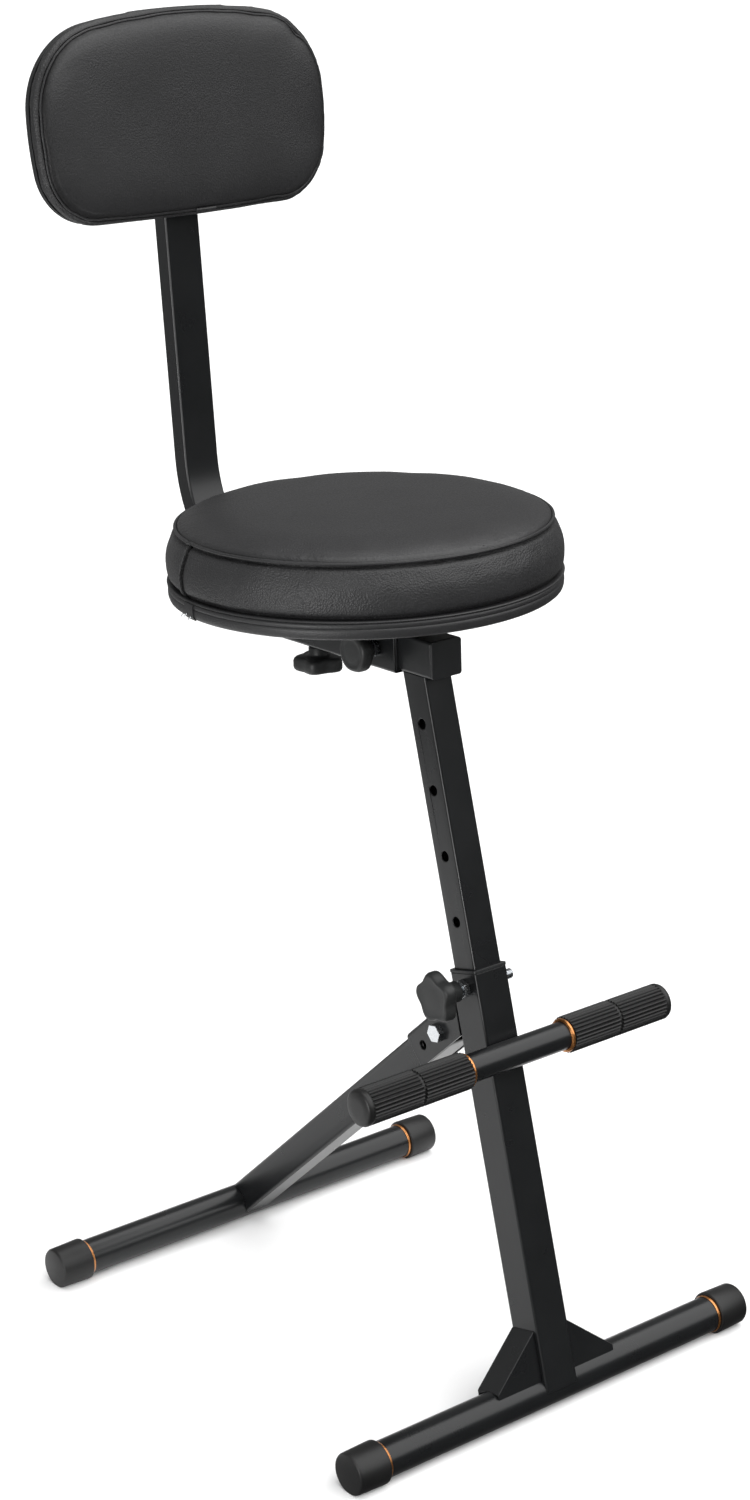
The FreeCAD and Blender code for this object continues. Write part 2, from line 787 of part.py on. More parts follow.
def bar_plug():
    """End plug along +Z: a cover plate with an insert that goes into the bar."""
    plate = rounded_bar(bar_width, bar_thickness, bar_edge, -bar_plug_plate, 0)
    inside = 2 * bar_wall + 2 * slide_gap
    insert = rounded_bar(bar_width - inside, bar_thickness - inside, plug_corner, 0, bar_plug_insert)
    return plate.fuse(insert).removeSplitter()


def pad_outline(inset, depth):
    """Closed outline of the pad in its own frame, drawn in by an inset, at a depth before the bar."""
    width = pad_half_width - inset
    height = pad_half_height - inset

    def quarter(end_bow, side_bow, corner_r):
        end_r = end_bow - inset
        side_r = side_bow - inset
        radius = corner_r - inset
        end_centre = FreeCAD.Vector(0, 0, height - end_r)
        side_centre = FreeCAD.Vector(width - side_r, 0, 0)
        apart = side_centre - end_centre
        distance = apart.Length
        along = ((end_r - radius) ** 2 - (side_r - radius) ** 2 + distance ** 2) / (2 * distance)
        across = math.sqrt((end_r - radius) ** 2 - along ** 2)
        unit = apart.normalize()
        centre = end_centre + unit * along + FreeCAD.Vector(unit.z, 0, -unit.x) * across
        end_point = centre + (centre - end_centre).normalize() * radius
        side_point = centre + (centre - side_centre).normalize() * radius
        halfway = ((end_point + side_point) / 2 - centre).normalize()
        corner_middle = centre + halfway * radius
        side_tip = FreeCAD.Vector(width, 0, 0)
        side_middle = side_centre + ((side_point + side_tip) / 2 - side_centre).normalize() * side_r
        return end_point, corner_middle, side_point, side_middle, side_tip

    upper = quarter(pad_top_bow, pad_upper_side_bow, pad_upper_corner)
    lower = quarter(pad_bottom_bow, pad_lower_side_bow, pad_lower_corner)

    def corner_of(points, side_x, side_z):
        return [FreeCAD.Vector(side_x * p.x, -depth, side_z * p.z) for p in points]

    edges = []
    top = FreeCAD.Vector(0, -depth, height)
    bottom = FreeCAD.Vector(0, -depth, -height)
    right_top = corner_of(upper, 1, 1)
    right_low = corner_of(lower, 1, -1)
    left_low = corner_of(lower, -1, -1)
    left_top = corner_of(upper, -1, 1)
    edges.append(arc(left_top[0], top, right_top[0]))
    edges.append(arc(*right_top[:3]))
    edges.append(arc(*right_top[2:]))
    edges.append(arc(*right_low[4:1:-1]))
    edges.append(arc(*right_low[2::-1]))
    edges.append(arc(right_low[0], bottom, left_low[0]))
    edges.append(arc(*left_low[:3]))
    edges.append(arc(*left_low[2:]))
    edges.append(arc(*left_top[4:1:-1]))
    edges.append(arc(*left_top[2::-1]))
    return Part.Wire(edges)


def pad_loft(*sections):
    """Solid through outlines given as (inset, depth) pairs."""
    return Part.makeLoft([pad_outline(inset, depth) for inset, depth in sections], True, True)


def backrest_pad():
    """Pad with a bulging edge, a drawn-in seam and a crowned front."""
    shoulder_inset, shoulder_depth = pad_seam_shoulder
    crown = [(inset, pad_seam_depth + rise) for inset, rise in pad_crown_steps]
    return pad_loft(
        (pad_edge_inset, back_cover_depth + push_gap),
        (0.0, back_cover_depth + pad_bulge_depth),
        (shoulder_inset, pad_seam_depth - shoulder_depth),
        (pad_seam_inset, pad_seam_depth),
        *crown,
    )


def screw_holes(radius):
    holes = []
    for place in (-back_screw_spread, back_screw_spread):
        holes.append(placed(cylinder_z(radius, -back_cover_depth, bar_thickness), at(0, 0, place), TO_Y))
    return Part.makeCompound(holes)


def backrest_board():
    back = back_cover_depth - back_board_thickness
    face = Part.Face(pad_outline(back_board_inset, back_cover_depth))
    return face.extrude(Y_AXIS * (back_cover_depth - back)).cut(screw_holes(back_screw_r + push_gap))


def backrest_cover():
    """Rear shell with rounded edges and a pocket for the board."""
    back = back_cover_depth - back_board_thickness - push_gap
    shell = pad_loft((cover_back_inset, 0.0), cover_edge, (pad_edge_inset, back_cover_depth))
    pocket = Part.Face(pad_outline(back_board_inset - push_gap, back_cover_depth))
    pocket = pocket.extrude(Y_AXIS * (back_cover_depth - back))
    return shell.cut(pocket).cut(screw_holes(back_screw_r + back_screw_play))


def backrest_screws():
    screws = []
    for place in (-back_screw_spread, back_screw_spread):
        shank = cylinder_z(back_screw_r, seated_gap - back_cover_depth, bar_thickness)
        head = cylinder_z(back_screw_head_r, bar_thickness, bar_thickness + back_screw_head)
        screws.append(placed(shank.fuse(head), at(0, 0, place), TO_Y))
    return Part.makeCompound(screws)


def build_backrest():
    top_end = at(0, bar_thickness / 2, bar_top)
    flip = FreeCAD.Placement(ORIGIN, FreeCAD.Rotation(X_AXIS, 180))
    save("backrest_bar", backrest_bar())
    save("bar_front_plug", placed(bar_plug(), seat_frame, at(0, bar_front, bar_level), TO_Y))
    save("bar_top_plug", placed(bar_plug(), back_frame, top_end, flip))
    save("backrest_board", placed(backrest_board(), back_frame))
    save("backrest_cover", placed(backrest_cover(), back_frame))
    save("backrest_pad", placed(backrest_pad(), back_frame))
    save("backrest_screws", placed(backrest_screws(), back_frame))


# Knobs with their studs

def build_knobs():
    to_right = TO_SIDE[-1]
    lock_axis = at(0, 0, lock_height)
    hub_start = lower_size / 2 + hex_height + height_travel + tip_gap
    knob = placed(star_knob(height_hub), at(0, 0, hub_start))
    screw = stud(upper_size / 2 + height_tip_gap, knob_end(hub_start, height_hub))
    save("height_knob", placed(knob, post_frame, lock_axis, to_right))
    save("height_stud", placed(screw, post_frame, lock_axis, to_right))

    side_axis = at(0, side_screw_y, side_screw_z)
    liner_face = receiver_width / 2 - receiver_wall - liner_gap
    hub_start = receiver_width / 2 + side_nut_height + seated_gap
    knob = placed(star_knob(side_hub), at(0, 0, hub_start))
    screw = stud(liner_face + tip_gap, knob_end(hub_start, side_hub))
    save("side_knob", placed(knob, seat_frame, side_axis, to_right))
    save("side_stud", placed(screw, seat_frame, side_axis, to_right))

    downward = FreeCAD.Placement(FreeCAD.Vector(0, clamp_screw_y, 0), FreeCAD.Rotation(X_AXIS, 180))
    hub_start = clamp_nut_height - receiver_floor + seated_gap
    knob = placed(star_knob(clamp_hub), at(0, 0, hub_start))
    screw = stud(bar_thickness / 2 - bar_level + tip_gap, knob_end(hub_start, clamp_hub))
    save("clamp_knob", placed(knob, seat_frame, downward))
    save("clamp_stud", placed(screw, seat_frame, downward))


os.makedirs("parts", exist_ok=True)
build_front_frame()
build_rear_leg()
build_seat_post()
build_seat()
build_backrest()
build_knobs()
print("pivot y %.2f z %.2f  leg drop %.2f" % (pivot.y, pivot.z, leg_drop))
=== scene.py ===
# %% [markdown]
# # Guitar stool
# A guitar stool is a black steel frame with a leaning telescopic post, a folding rear leg, a footrest,
# a round boxed cushion and a padded backrest on a bent bar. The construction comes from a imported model
# whose pieces already stand in the right place, so this lesson only makes the surfaces: it copies the
# steel pieces and softens their edges, and models knobs, rubber and upholstery anew. All lengths are in
# metres, +Z is up, and the sitter faces -Y.

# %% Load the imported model
import json
import math

import bmesh
import bpy
from mathutils import Matrix, Vector, noise
from mathutils.bvhtree import BVHTree

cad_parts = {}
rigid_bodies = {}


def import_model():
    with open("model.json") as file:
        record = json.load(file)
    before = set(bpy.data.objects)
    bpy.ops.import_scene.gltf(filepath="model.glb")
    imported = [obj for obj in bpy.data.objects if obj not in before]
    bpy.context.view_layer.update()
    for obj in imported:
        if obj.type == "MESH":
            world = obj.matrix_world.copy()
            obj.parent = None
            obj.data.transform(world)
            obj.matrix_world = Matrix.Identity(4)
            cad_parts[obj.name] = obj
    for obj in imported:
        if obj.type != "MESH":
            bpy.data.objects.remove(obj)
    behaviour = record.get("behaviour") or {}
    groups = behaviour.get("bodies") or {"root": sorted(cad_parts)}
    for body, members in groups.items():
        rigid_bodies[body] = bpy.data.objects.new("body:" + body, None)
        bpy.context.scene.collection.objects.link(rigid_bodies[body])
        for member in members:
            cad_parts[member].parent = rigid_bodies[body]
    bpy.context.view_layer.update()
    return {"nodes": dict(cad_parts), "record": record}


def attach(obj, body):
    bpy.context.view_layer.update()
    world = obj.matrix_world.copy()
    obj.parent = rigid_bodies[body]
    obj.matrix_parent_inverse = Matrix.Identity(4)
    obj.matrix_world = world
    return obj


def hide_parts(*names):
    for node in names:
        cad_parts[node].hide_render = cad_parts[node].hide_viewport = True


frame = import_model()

MM = 0.001
print("pieces in the packed model:", len(frame["nodes"]))

# %% [markdown]
# Post, seat and backrest each lean by their own angle. Modelling a ring or a seam in a leaning frame is
# hard, so each piece is modelled upright and then carried into its frame by one matrix. A matrix is also
# easy to invert, which tells where a point of a finished cushion lies in the cushion's own frame.

# %% Frames of the leaning parts
def leaning_frame(y, z, lean):
    """Frame at (0, y, z) in millimetres whose own Z axis leans back by the given degrees."""
    return Matrix.Translation(Vector((0, y, z)) * MM) @ Matrix.Rotation(math.radians(-lean), 4, "X")


FRONT_BAR_Y = -288.6
REAR_BAR_Y = 187.4
FOOT_Z = 18.65
POST_LEAN, SEAT_LEAN, BACK_LEAN = 15.9, 2.8, 6.2
POST = leaning_frame(FRONT_BAR_Y, FOOT_Z, POST_LEAN)
SEAT = leaning_frame(-12.9, 736.3, SEAT_LEAN)
BACK = leaning_frame(280.6, 1140.5, BACK_LEAN)
TO_RIGHT = Matrix.Rotation(math.radians(-90), 4, "Y")
TO_LEFT = Matrix.Rotation(math.radians(90), 4, "Y")
print("post leans", round(math.degrees(POST.to_euler().x), 1), "degrees about X")

# %% [markdown]
# Every finish is a node material. Small helpers keep the recipes short: one turns an sRGB hex colour into
# the linear values that shaders use, one adds a node, sets its sockets and links its inputs, and the others
# add what most recipes share. Patterns read Object coordinates, which are real metres here, so a pattern's
# scale is one divided by the size of its grain.

# %% Helpers for materials
def linear(hex_colour):
    """Linear RGBA of an sRGB colour such as "1b1c1e"."""
    parts = [int(hex_colour[i:i + 2], 16) / 255 for i in (0, 2, 4)]
    return tuple(p / 12.92 if p <= 0.04045 else ((p + 0.055) / 1.055) ** 2.4 for p in parts) + (1.0,)


def link(tree, node, links):
    """Links inputs to (node, output) pairs by identifier, because a node's input names may repeat."""
    inputs = {socket.identifier: socket for socket in node.inputs}
    for name, (source, output) in links.items():
        outputs = {socket.identifier: socket for socket in source.outputs}
        tree.links.new(outputs[output], inputs[name])


def add(tree, kind, values=None, links=None, **settings):
    """Adds a node with fixed input values, by identifier, with links and with its own settings."""
    node = tree.nodes.new(kind)
    for name, value in settings.items():
        setattr(node, name, value)
    inputs = {socket.identifier: socket for socket in node.inputs}
    for name, value in (values or {}).items():
        inputs[name].default_value = value
    link(tree, node, links or {})
    return node


def per_metre(size_mm):
    """Pattern scale for a grain of that size."""
    return 1 / (size_mm * MM)


def new_finish(name):
    """Empty node material with its shader and the coordinates that its patterns read."""
    finish = bpy.data.materials.new(name)
    finish.use_nodes = True
    tree = finish.node_tree
    shader = tree.nodes["Principled BSDF"]
    place = add(tree, "ShaderNodeTexCoord")
    return finish, tree, shader, place


def cloud_of(tree, place, size_mm, detail):
    """Noise with a grain of that size."""
    return add(tree, "ShaderNodeTexNoise", {"Scale": per_metre(size_mm), "Detail": detail},
               {"Vector": (place, "Object")})


def colour_between(tree, dark, light, source, output="Fac"):
    """Mix of two hex colours by a node's output."""
    return add(tree, "ShaderNodeMix", {"A_Color": linear(dark), "B_Color": linear(light)},
               {"Factor_Float": (source, output)}, data_type="RGBA")


def value_between(tree, low, high, source, output="Fac"):
    """Value between two limits by a node's output."""
    return add(tree, "ShaderNodeMapRange", {"To Min": low, "To Max": high}, {"Value": (source, output)})


def relief_of(tree, strength, depth_mm, source):
    """Bump from a pattern."""
    return add(tree, "ShaderNodeBump", {"Strength": strength, "Distance": depth_mm * MM},
               {"Height": (source, "Fac")})


def cover(tree, shader, shade, gloss, relief):
    """Links colour, roughness and relief to the shader."""
    link(tree, shader, {"Base Color": (shade, "Result_Color"), "Roughness": (gloss, "Result"),
                        "Normal": (relief, "Normal")})


# %% [markdown]
# Powder coat is baked plastic powder: very dark, satin, with a faint orange-peel ripple. A broad noise
# moves the roughness a little, because no sprayed film is even, and a fine noise gives the ripple.

# %% Black powder coat
def powder_coat():
    finish, tree, shader, place = new_finish("satin black powder coat")
    # The film is thinner on some places, which reads as slow changes of gloss.
    cloud = cloud_of(tree, place, 45, detail=3)
    gloss = value_between(tree, 0.24, 0.33, cloud)
    shade = colour_between(tree, "101112", "161718", cloud)
    # Orange peel is about 0.5 mm across; it is drawn at 1.6 mm so that it shows.
    peel = cloud_of(tree, place, 1.6, detail=1)
    cover(tree, shader, shade, gloss, relief_of(tree, 0.12, 0.1, peel))
    shader.inputs["Specular IOR Level"].default_value = 0.36
    return finish


POWDER = powder_coat()
print("made", POWDER.name)

# %% [markdown]
# Leatherette is fabric with a soft vinyl skin, embossed with a pebbled grain. The pebbles are Voronoi
# cells: the distance to a cell's middle makes a small dome, and a second, larger noise lets the grain
# fade in and out, as it does where the skin is stretched. The skin is satin, a little glossier on the
# tops of the pebbles than in the creases. Where skin is sewn, it dives into a fold, and the fold's shade is
# painted: the sewing step below stores in an attribute how close each point is to a seam, and that
# darkens the colour and turns down the reflection there.

# %% Black leatherette
def leatherette():
    finish, tree, shader, place = new_finish("embossed black leatherette")
    # Real pebbles are about 1 mm; they are drawn at 1.8 mm so that they show.
    pebble = add(tree, "ShaderNodeTexVoronoi", {"Scale": per_metre(1.8), "Randomness": 0.9},
                 {"Vector": (place, "Object")})
    stretch = cloud_of(tree, place, 60, detail=2)
    # Panels that are stretched flat show less grain than the sides; the upholstery step stores where that is.
    slack = add(tree, "ShaderNodeAttribute", attribute_name="slack")
    loose = add(tree, "ShaderNodeMath", {}, {"Value": (stretch, "Fac"), "Value_001": (slack, "Fac")},
                operation="ADD")
    depth = add(tree, "ShaderNodeMapRange", {"From Max": 1.6, "To Min": 0.05, "To Max": 1.0},
                {"Value": (loose, "Value")})
    grain = add(tree, "ShaderNodeBump", {"Distance": 0.5 * MM},
                {"Height": (pebble, "Distance"), "Strength": (depth, "Result")}, invert=True)
    shade = colour_between(tree, "1b1b1c", "232324", stretch)
    # Painted shade: near seams the colour is mixed towards near-black 040404 by the seam shade attribute.
    painted_seam_shade = add(tree, "ShaderNodeAttribute", attribute_name="painted_seam_shade")
    shade = add(tree, "ShaderNodeMix", {"B_Color": linear("040404")},
                {"Factor_Float": (painted_seam_shade, "Fac"), "A_Color": (shade, "Result_Color")}, data_type="RGBA")
    gloss = add(tree, "ShaderNodeMapRange", {"From Max": 0.7, "To Min": 0.36, "To Max": 0.54},
                {"Value": (pebble, "Distance")})
    # Painted shade: along the seams the reflection is turned down almost to nothing, as a deep fold would
    # hide it.
    mirror = value_between(tree, 0.5, 0.03, painted_seam_shade)
    link(tree, shader, {"Specular IOR Level": (mirror, "Result")})
    cover(tree, shader, shade, gloss, grain)
    return finish


LEATHERETTE = leatherette()
print("made", LEATHERETTE.name)

# %% [markdown]
# Caps and grips are moulded rubber: almost black, between matt and satin, with fine pores. Knobs,
# plugs and shells are moulded plastic whose mould was spark-eroded, which leaves a fine even grit. One
# recipe serves both, with its own colours, gloss and grit size.

# %% Moulded rubber and plastics
def moulded(name, dark, light, gloss_low, gloss_high, grit_mm, grit_depth):
    finish, tree, shader, place = new_finish(name)
    bloom = cloud_of(tree, place, 30, detail=4)
    shade = colour_between(tree, dark, light, bloom)
    gloss = value_between(tree, gloss_low, gloss_high, bloom)
    grit = cloud_of(tree, place, grit_mm, detail=2)
    cover(tree, shader, shade, gloss, relief_of(tree, grit_depth, 0.2, grit))
    shader.inputs["Specular IOR Level"].default_value = 0.38
    return finish


# Between matt and satin, so that edges read soft; pores of 0.4 mm are drawn at 1.2 mm.
RUBBER = moulded("moulded black rubber", "0d0d0d", "141414", 0.4, 0.52, 1.2, 0.25)
# Glass-filled nylon: satin with a fine sparkle; a grit of 0.3 mm is drawn at 1.0 mm.
NYLON = moulded("spark-eroded black nylon", "191a1a", "222323", 0.42, 0.54, 1.0, 0.2)
# Polypropylene plugs and shells: smoother and a little deeper in colour than the knobs.
POLYPROPYLENE = moulded("black polypropylene", "161718", "1d1e1f", 0.36, 0.48, 1.4, 0.12)
print("made", RUBBER.name, NYLON.name, POLYPROPYLENE.name, sep=", ")

# %% [markdown]
# The coloured rings are plastic with a copper-orange metallic lacquer: metal flake under clear coat, so
# they are bright where they face a light and brown at the rims. Nuts and bolts are zinc-plated steel:
# bright, slightly blue, with turning marks.

# %% Copper-orange lacquer and zinc plate
def copper_lacquer():
    finish, tree, shader, place = new_finish("copper-orange metallic lacquer")
    # Flakes are about 0.1 mm; they are drawn at 0.8 mm so that the lacquer glitters.
    flake = add(tree, "ShaderNodeTexVoronoi", {"Scale": per_metre(0.8)}, {"Vector": (place, "Object")})
    shade = colour_between(tree, "a4602c", "d99a5e", flake, "Distance")
    gloss = value_between(tree, 0.24, 0.36, flake, "Distance")
    link(tree, shader, {"Base Color": (shade, "Result_Color"), "Roughness": (gloss, "Result")})
    shader.inputs["Metallic"].default_value = 0.95
    shader.inputs["Coat Weight"].default_value = 0.4
    shader.inputs["Coat Roughness"].default_value = 0.12
    return finish


def zinc_plate():
    finish, tree, shader, place = new_finish("zinc-plated steel")
    # Turning marks 0.2 mm apart are drawn at 0.6 mm; crystals of the plating cloud the gloss.
    crystal = cloud_of(tree, place, 2.5, detail=3)
    shade = colour_between(tree, "b4b8bc", "dfe1e3", crystal)
    gloss = value_between(tree, 0.16, 0.34, crystal)
    marks = add(tree, "ShaderNodeTexWave", {"Scale": per_metre(0.6) / 20, "Distortion": 1.5},
                {"Vector": (place, "Object")}, bands_direction="X")
    cover(tree, shader, shade, gloss, relief_of(tree, 0.06, 0.1, marks))
    shader.inputs["Metallic"].default_value = 1.0
    return finish


COPPER = copper_lacquer()
ZINC = zinc_plate()
print("made", COPPER.name, ZINC.name, sep=", ")

# %% [markdown]
# The boards under the cushions are birch plywood with a black stain: long fibres still show through it as
# faint brown streaks. Stretching a noise along the fibres gives that figure.

# %% Stained plywood
def plywood():
    finish, tree, shader, place = new_finish("black-stained birch plywood")
    # Fibres are about 1.5 mm wide and 60 mm long.
    fibre_place = add(tree, "ShaderNodeMapping", {"Scale": (per_metre(60), per_metre(1.5), per_metre(1.5))},
                      {"Vector": (place, "Object")})
    fibre = add(tree, "ShaderNodeTexNoise", {"Scale": 1.0, "Detail": 4}, {"Vector": (fibre_place, "Vector")})
    shade = colour_between(tree, "17150f", "2a2419", fibre)
    gloss = value_between(tree, 0.6, 0.8, fibre)
    cover(tree, shader, shade, gloss, relief_of(tree, 0.2, 0.2, fibre))
    return finish


PLYWOOD = plywood()
print("made", PLYWOOD.name)

# %% [markdown]
# A few helpers serve every new piece. The main one turns a bmesh into an object that rides on a body, so
# that it follows when a joint moves. Another rounds sharp edges: nothing on a real stool has a knife edge,
# and the thin highlight on a rounded edge is what makes a dark object readable.

# %% Helpers for pieces
def soften(bm, width_mm, segments=3, angle=35):
    """Bevels every edge that is sharper than the angle."""
    bm.normal_update()
    sharp = [edge for edge in bm.edges if edge.is_manifold and edge.calc_face_angle() > math.radians(angle)]
    bmesh.ops.bevel(bm, geom=sharp, offset=width_mm * MM, offset_type="OFFSET", segments=segments,
                    profile=0.5, affect="EDGES", material=-1, clamp_overlap=True)


def cut_off(bm, point, facing):
    """Drops what lies in front of a plane and closes the cut."""
    cut = bmesh.ops.bisect_plane(bm, geom=bm.verts[:] + bm.edges[:] + bm.faces[:], dist=1e-7,
                                 plane_co=point, plane_no=facing, clear_outer=True)
    rim = [item for item in cut["geom_cut"] if isinstance(item, bmesh.types.BMEdge)]
    bmesh.ops.holes_fill(bm, edges=rim, sides=0)


def in_scene(name, data):
    """New object in the scene."""
    thing = bpy.data.objects.new(name, data)
    bpy.context.scene.collection.objects.link(thing)
    return thing


def new_piece(name, bm, body, finish, replaces=(), smooth=32):
    """Object from a finished bmesh, riding on a body and standing for the CAD nodes that it replaces."""
    mesh = bpy.data.meshes.new(name)
    bm.to_mesh(mesh)
    bm.free()
    mesh.shade_smooth()
    mesh.set_sharp_from_angle(angle=math.radians(smooth))
    mesh.materials.append(finish)
    piece = in_scene(name, mesh)
    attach(piece, body)
    if replaces:
        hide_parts(*replaces)
    return piece


def carry(bm, *matrices):
    """Moves the whole bmesh by the matrices, from last to first."""
    for matrix in reversed(matrices):
        bmesh.ops.transform(bm, matrix=matrix, verts=bm.verts)
    return bm


def merged_copy(node):
    """Bmesh of a CAD node with its loose triangles joined and its flat faces made whole."""
    bm = bmesh.new()
    bm.from_mesh(frame["nodes"][node].data)
    bmesh.ops.remove_doubles(bm, verts=bm.verts, dist=0.004 * MM)
    bmesh.ops.dissolve_limit(bm, angle_limit=math.radians(0.6), verts=bm.verts, edges=bm.edges)
    return bm


BODY_OF = {node: body for body, nodes in frame["record"]["behaviour"]["bodies"].items() for node in nodes}
print("bodies:", ", ".join(sorted(set(BODY_OF.values()))))

# %% [markdown]
# Tubes, brackets, bolts and boards keep their CAD shape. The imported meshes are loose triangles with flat
# shading, so each is copied, its vertices are merged and it is shaded smooth up to an angle. A small
# Bevel modifier rounds the cut edges, as tumbling and coating do on the real pieces.

# %% Dress the rigid pieces
def dressed(node, finish, edge_mm):
    piece = new_piece(node + "_skin", merged_copy(node), BODY_OF[node], finish, [node])
    rounding = piece.modifiers.new("coated edge", "BEVEL")
    rounding.width = edge_mm * MM
    rounding.segments = 2
    rounding.limit_method = "ANGLE"
    rounding.angle_limit = math.radians(38)
    rounding.use_clamp_overlap = False
    rounding.harden_normals = True
    return piece


STEEL = ("front_foot_tube", "rear_foot_tube", "lower_post", "gusset_right", "gusset_left", "footrest_tube",
         "leg_bracket", "rear_leg_tube", "upper_post", "head_tube", "receiver_tube", "saddle_front",
         "saddle_rear", "backrest_bar")
PLUGS = ("post_bushing", "post_glide", "head_plug", "head_liner", "bar_front_plug", "bar_top_plug")
FASTENERS = ("height_nut", "far_nut", "pivot_bolt", "pivot_locknut", "side_nut", "clamp_nut", "seat_screws",
             "backrest_screws")
for node in STEEL:
    dressed(node, POWDER, 0.8)
for node in PLUGS:
    dressed(node, POLYPROPYLENE, 0.5)
for node in FASTENERS:
    dressed(node, ZINC, 0.45)
for node in ("seat_board", "backrest_board"):
    dressed(node, PLYWOOD, 0.8)
print("dressed", len(STEEL) + len(PLUGS) + len(FASTENERS) + 2, "rigid pieces")

# %% [markdown]
# Caps and rings are turned shapes. A lathe would cut them from a profile, and Spin does the same: it
# sweeps a few points of (radius, height) around the Z axis. The cap widens a little towards its open end,
# where its wall shows as a step, and a flat is cut off below, where rubber that carries weight is pressed
# level with the floor. The ring is a polished wire that sits on the tube against the cap.

# %% Rubber caps and coloured rings of the foot bars
def turned(profile, closed=False, steps=72, sweep=math.tau):
    """Skin of revolution about Z from (radius, height) points in millimetres, over a full turn or part."""
    bm = bmesh.new()
    points = [bm.verts.new(Vector((r, 0, h)) * MM) for r, h in profile]
    for start, end in zip(points, points[1:]):
        bm.edges.new((start, end))
    if closed:
        bm.edges.new((points[-1], points[0]))
    bmesh.ops.spin(bm, geom=bm.verts[:] + bm.edges[:], cent=(0, 0, 0), axis=(0, 0, 1), dvec=(0, 0, 0),
                   angle=sweep, steps=steps, use_merge=sweep == math.tau, use_duplicate=False)
    bmesh.ops.remove_doubles(bm, verts=bm.verts, dist=0.002 * MM)
    bmesh.ops.holes_fill(bm, edges=[edge for edge in bm.edges if edge.is_boundary], sides=0)
    bmesh.ops.recalc_face_normals(bm, faces=bm.faces)
    return bm


def both_sides(bm):
    """Adds the mirror image on the other side of the stool's middle plane."""
    bmesh.ops.mirror(bm, geom=bm.verts[:] + bm.edges[:] + bm.faces[:], matrix=Matrix.Identity(4),
                     merge_dist=0, axis="X")
    bmesh.ops.recalc_face_normals(bm, faces=bm.faces)
    return bm


BAR_END = 243.0
CAP_END_R = 20.2
CAP_MOUTH_R = 21.0
CAP_LENGTH = 35.0
TUBE_R = 17.55
RING_R = 18.6
RING_WIDTH = 3.0


def foot_caps():
    """Both caps of a foot bar, about the bar's axis and cut level with the floor."""
    mouth = BAR_END - CAP_LENGTH
    cup = turned([(0, BAR_END), (17.4, BAR_END), (19.2, BAR_END - 0.8), (CAP_END_R, BAR_END - 2.8),
                  (CAP_MOUTH_R, mouth + 2.5), (CAP_MOUTH_R, mouth + 0.8), (CAP_MOUTH_R - 0.8, mouth),
                  (TUBE_R, mouth), (TUBE_R, BAR_END - 4), (0, BAR_END - 4)])
    soften(cup, 0.6)
    carry(cup, TO_RIGHT)
    cut_off(cup, (0, 0, -FOOT_Z * MM), (0, 0, -1))
    return both_sides(cup)


def ring_pair(stop, width, inner_r, outer_r):
    """Rings of round wire that end against the rubber at a distance from the middle plane."""
    start = stop - width
    band = turned([(inner_r, start + 0.3), (inner_r + 0.5, start), (outer_r - 0.5, start + 0.15 * width),
                   (outer_r, start + 0.4 * width), (outer_r, start + 0.6 * width),
                   (outer_r - 0.5, start + 0.85 * width), (inner_r + 0.5, stop), (inner_r, stop - 0.3)],
                  closed=True)
    return both_sides(carry(band, TO_RIGHT))


for bar, y in (("front", FRONT_BAR_Y), ("rear", REAR_BAR_Y)):
    body = BODY_OF[bar + "_caps"]
    at_bar = Matrix.Translation(Vector((0, y, FOOT_Z)) * MM)
    caps = carry(foot_caps(), at_bar)
    new_piece(bar + "_cap_rubber", caps, body, RUBBER, [bar + "_caps"])
    rings = carry(ring_pair(BAR_END - CAP_LENGTH, RING_WIDTH, TUBE_R, RING_R), at_bar)
    new_piece(bar + "_ring_lacquer", rings, body, COPPER, [bar + "_rings"])
print("made caps and rings for two foot bars")

# %% [markdown]
# The footrest's grips are rubber sleeves with 28 rounded ribs, a smooth waist at half length and a domed
# end. A circle whose points are moved in and out by a cosine gives the ribbed section. Bridged to an inner
# circle it becomes a flat ring, and extruding that makes the ribs. The sleeve with its waist and dome is
# turned.

# %% Ribbed grips of the footrest
RIBS = 28
POINTS_PER_RIB = 8
GRIP_R = 17.7
SLEEVE_R = 16.0
GRIP_BORE_R = 13.6
RIB_DEPTH = 0.11
RIB_ROUNDNESS = 0.6
WAIST_WIDTH = 3.2
REST_TUBE_R = 13.55
REST_RING_R = 16.4
REST_RING_WIDTH = 3.6
GRIP_START, GRIP_WAIST, RIB_STOP, GRIP_END = 62.0, 119.75, 177.5, 185.5


def ribbed_barrel(bm, start, stop):
    """Adds a ribbed tube along +Z between two heights in millimetres."""
    at_start = Matrix.Translation((0, 0, start * MM))
    count = RIBS * POINTS_PER_RIB
    ribs = bmesh.ops.create_circle(bm, radius=GRIP_R * MM, segments=count, matrix=at_start)["verts"]
    for vert in ribs:
        wave = 0.5 + 0.5 * math.cos(RIBS * math.atan2(vert.co.y, vert.co.x))
        vert.co.xy *= 1 - RIB_DEPTH * (1 - wave ** RIB_ROUNDNESS)
    bore = bmesh.ops.create_circle(bm, radius=(SLEEVE_R - 0.5) * MM, segments=count, matrix=at_start)["verts"]
    loops = {edge for vert in ribs + bore for edge in vert.link_edges}
    section = bmesh.ops.bridge_loops(bm, edges=list(loops))["faces"]
    grown = bmesh.ops.extrude_face_region(bm, geom=section)["geom"]
    bmesh.ops.translate(bm, vec=(0, 0, (stop - start) * MM),
                        verts=[item for item in grown if isinstance(item, bmesh.types.BMVert)])


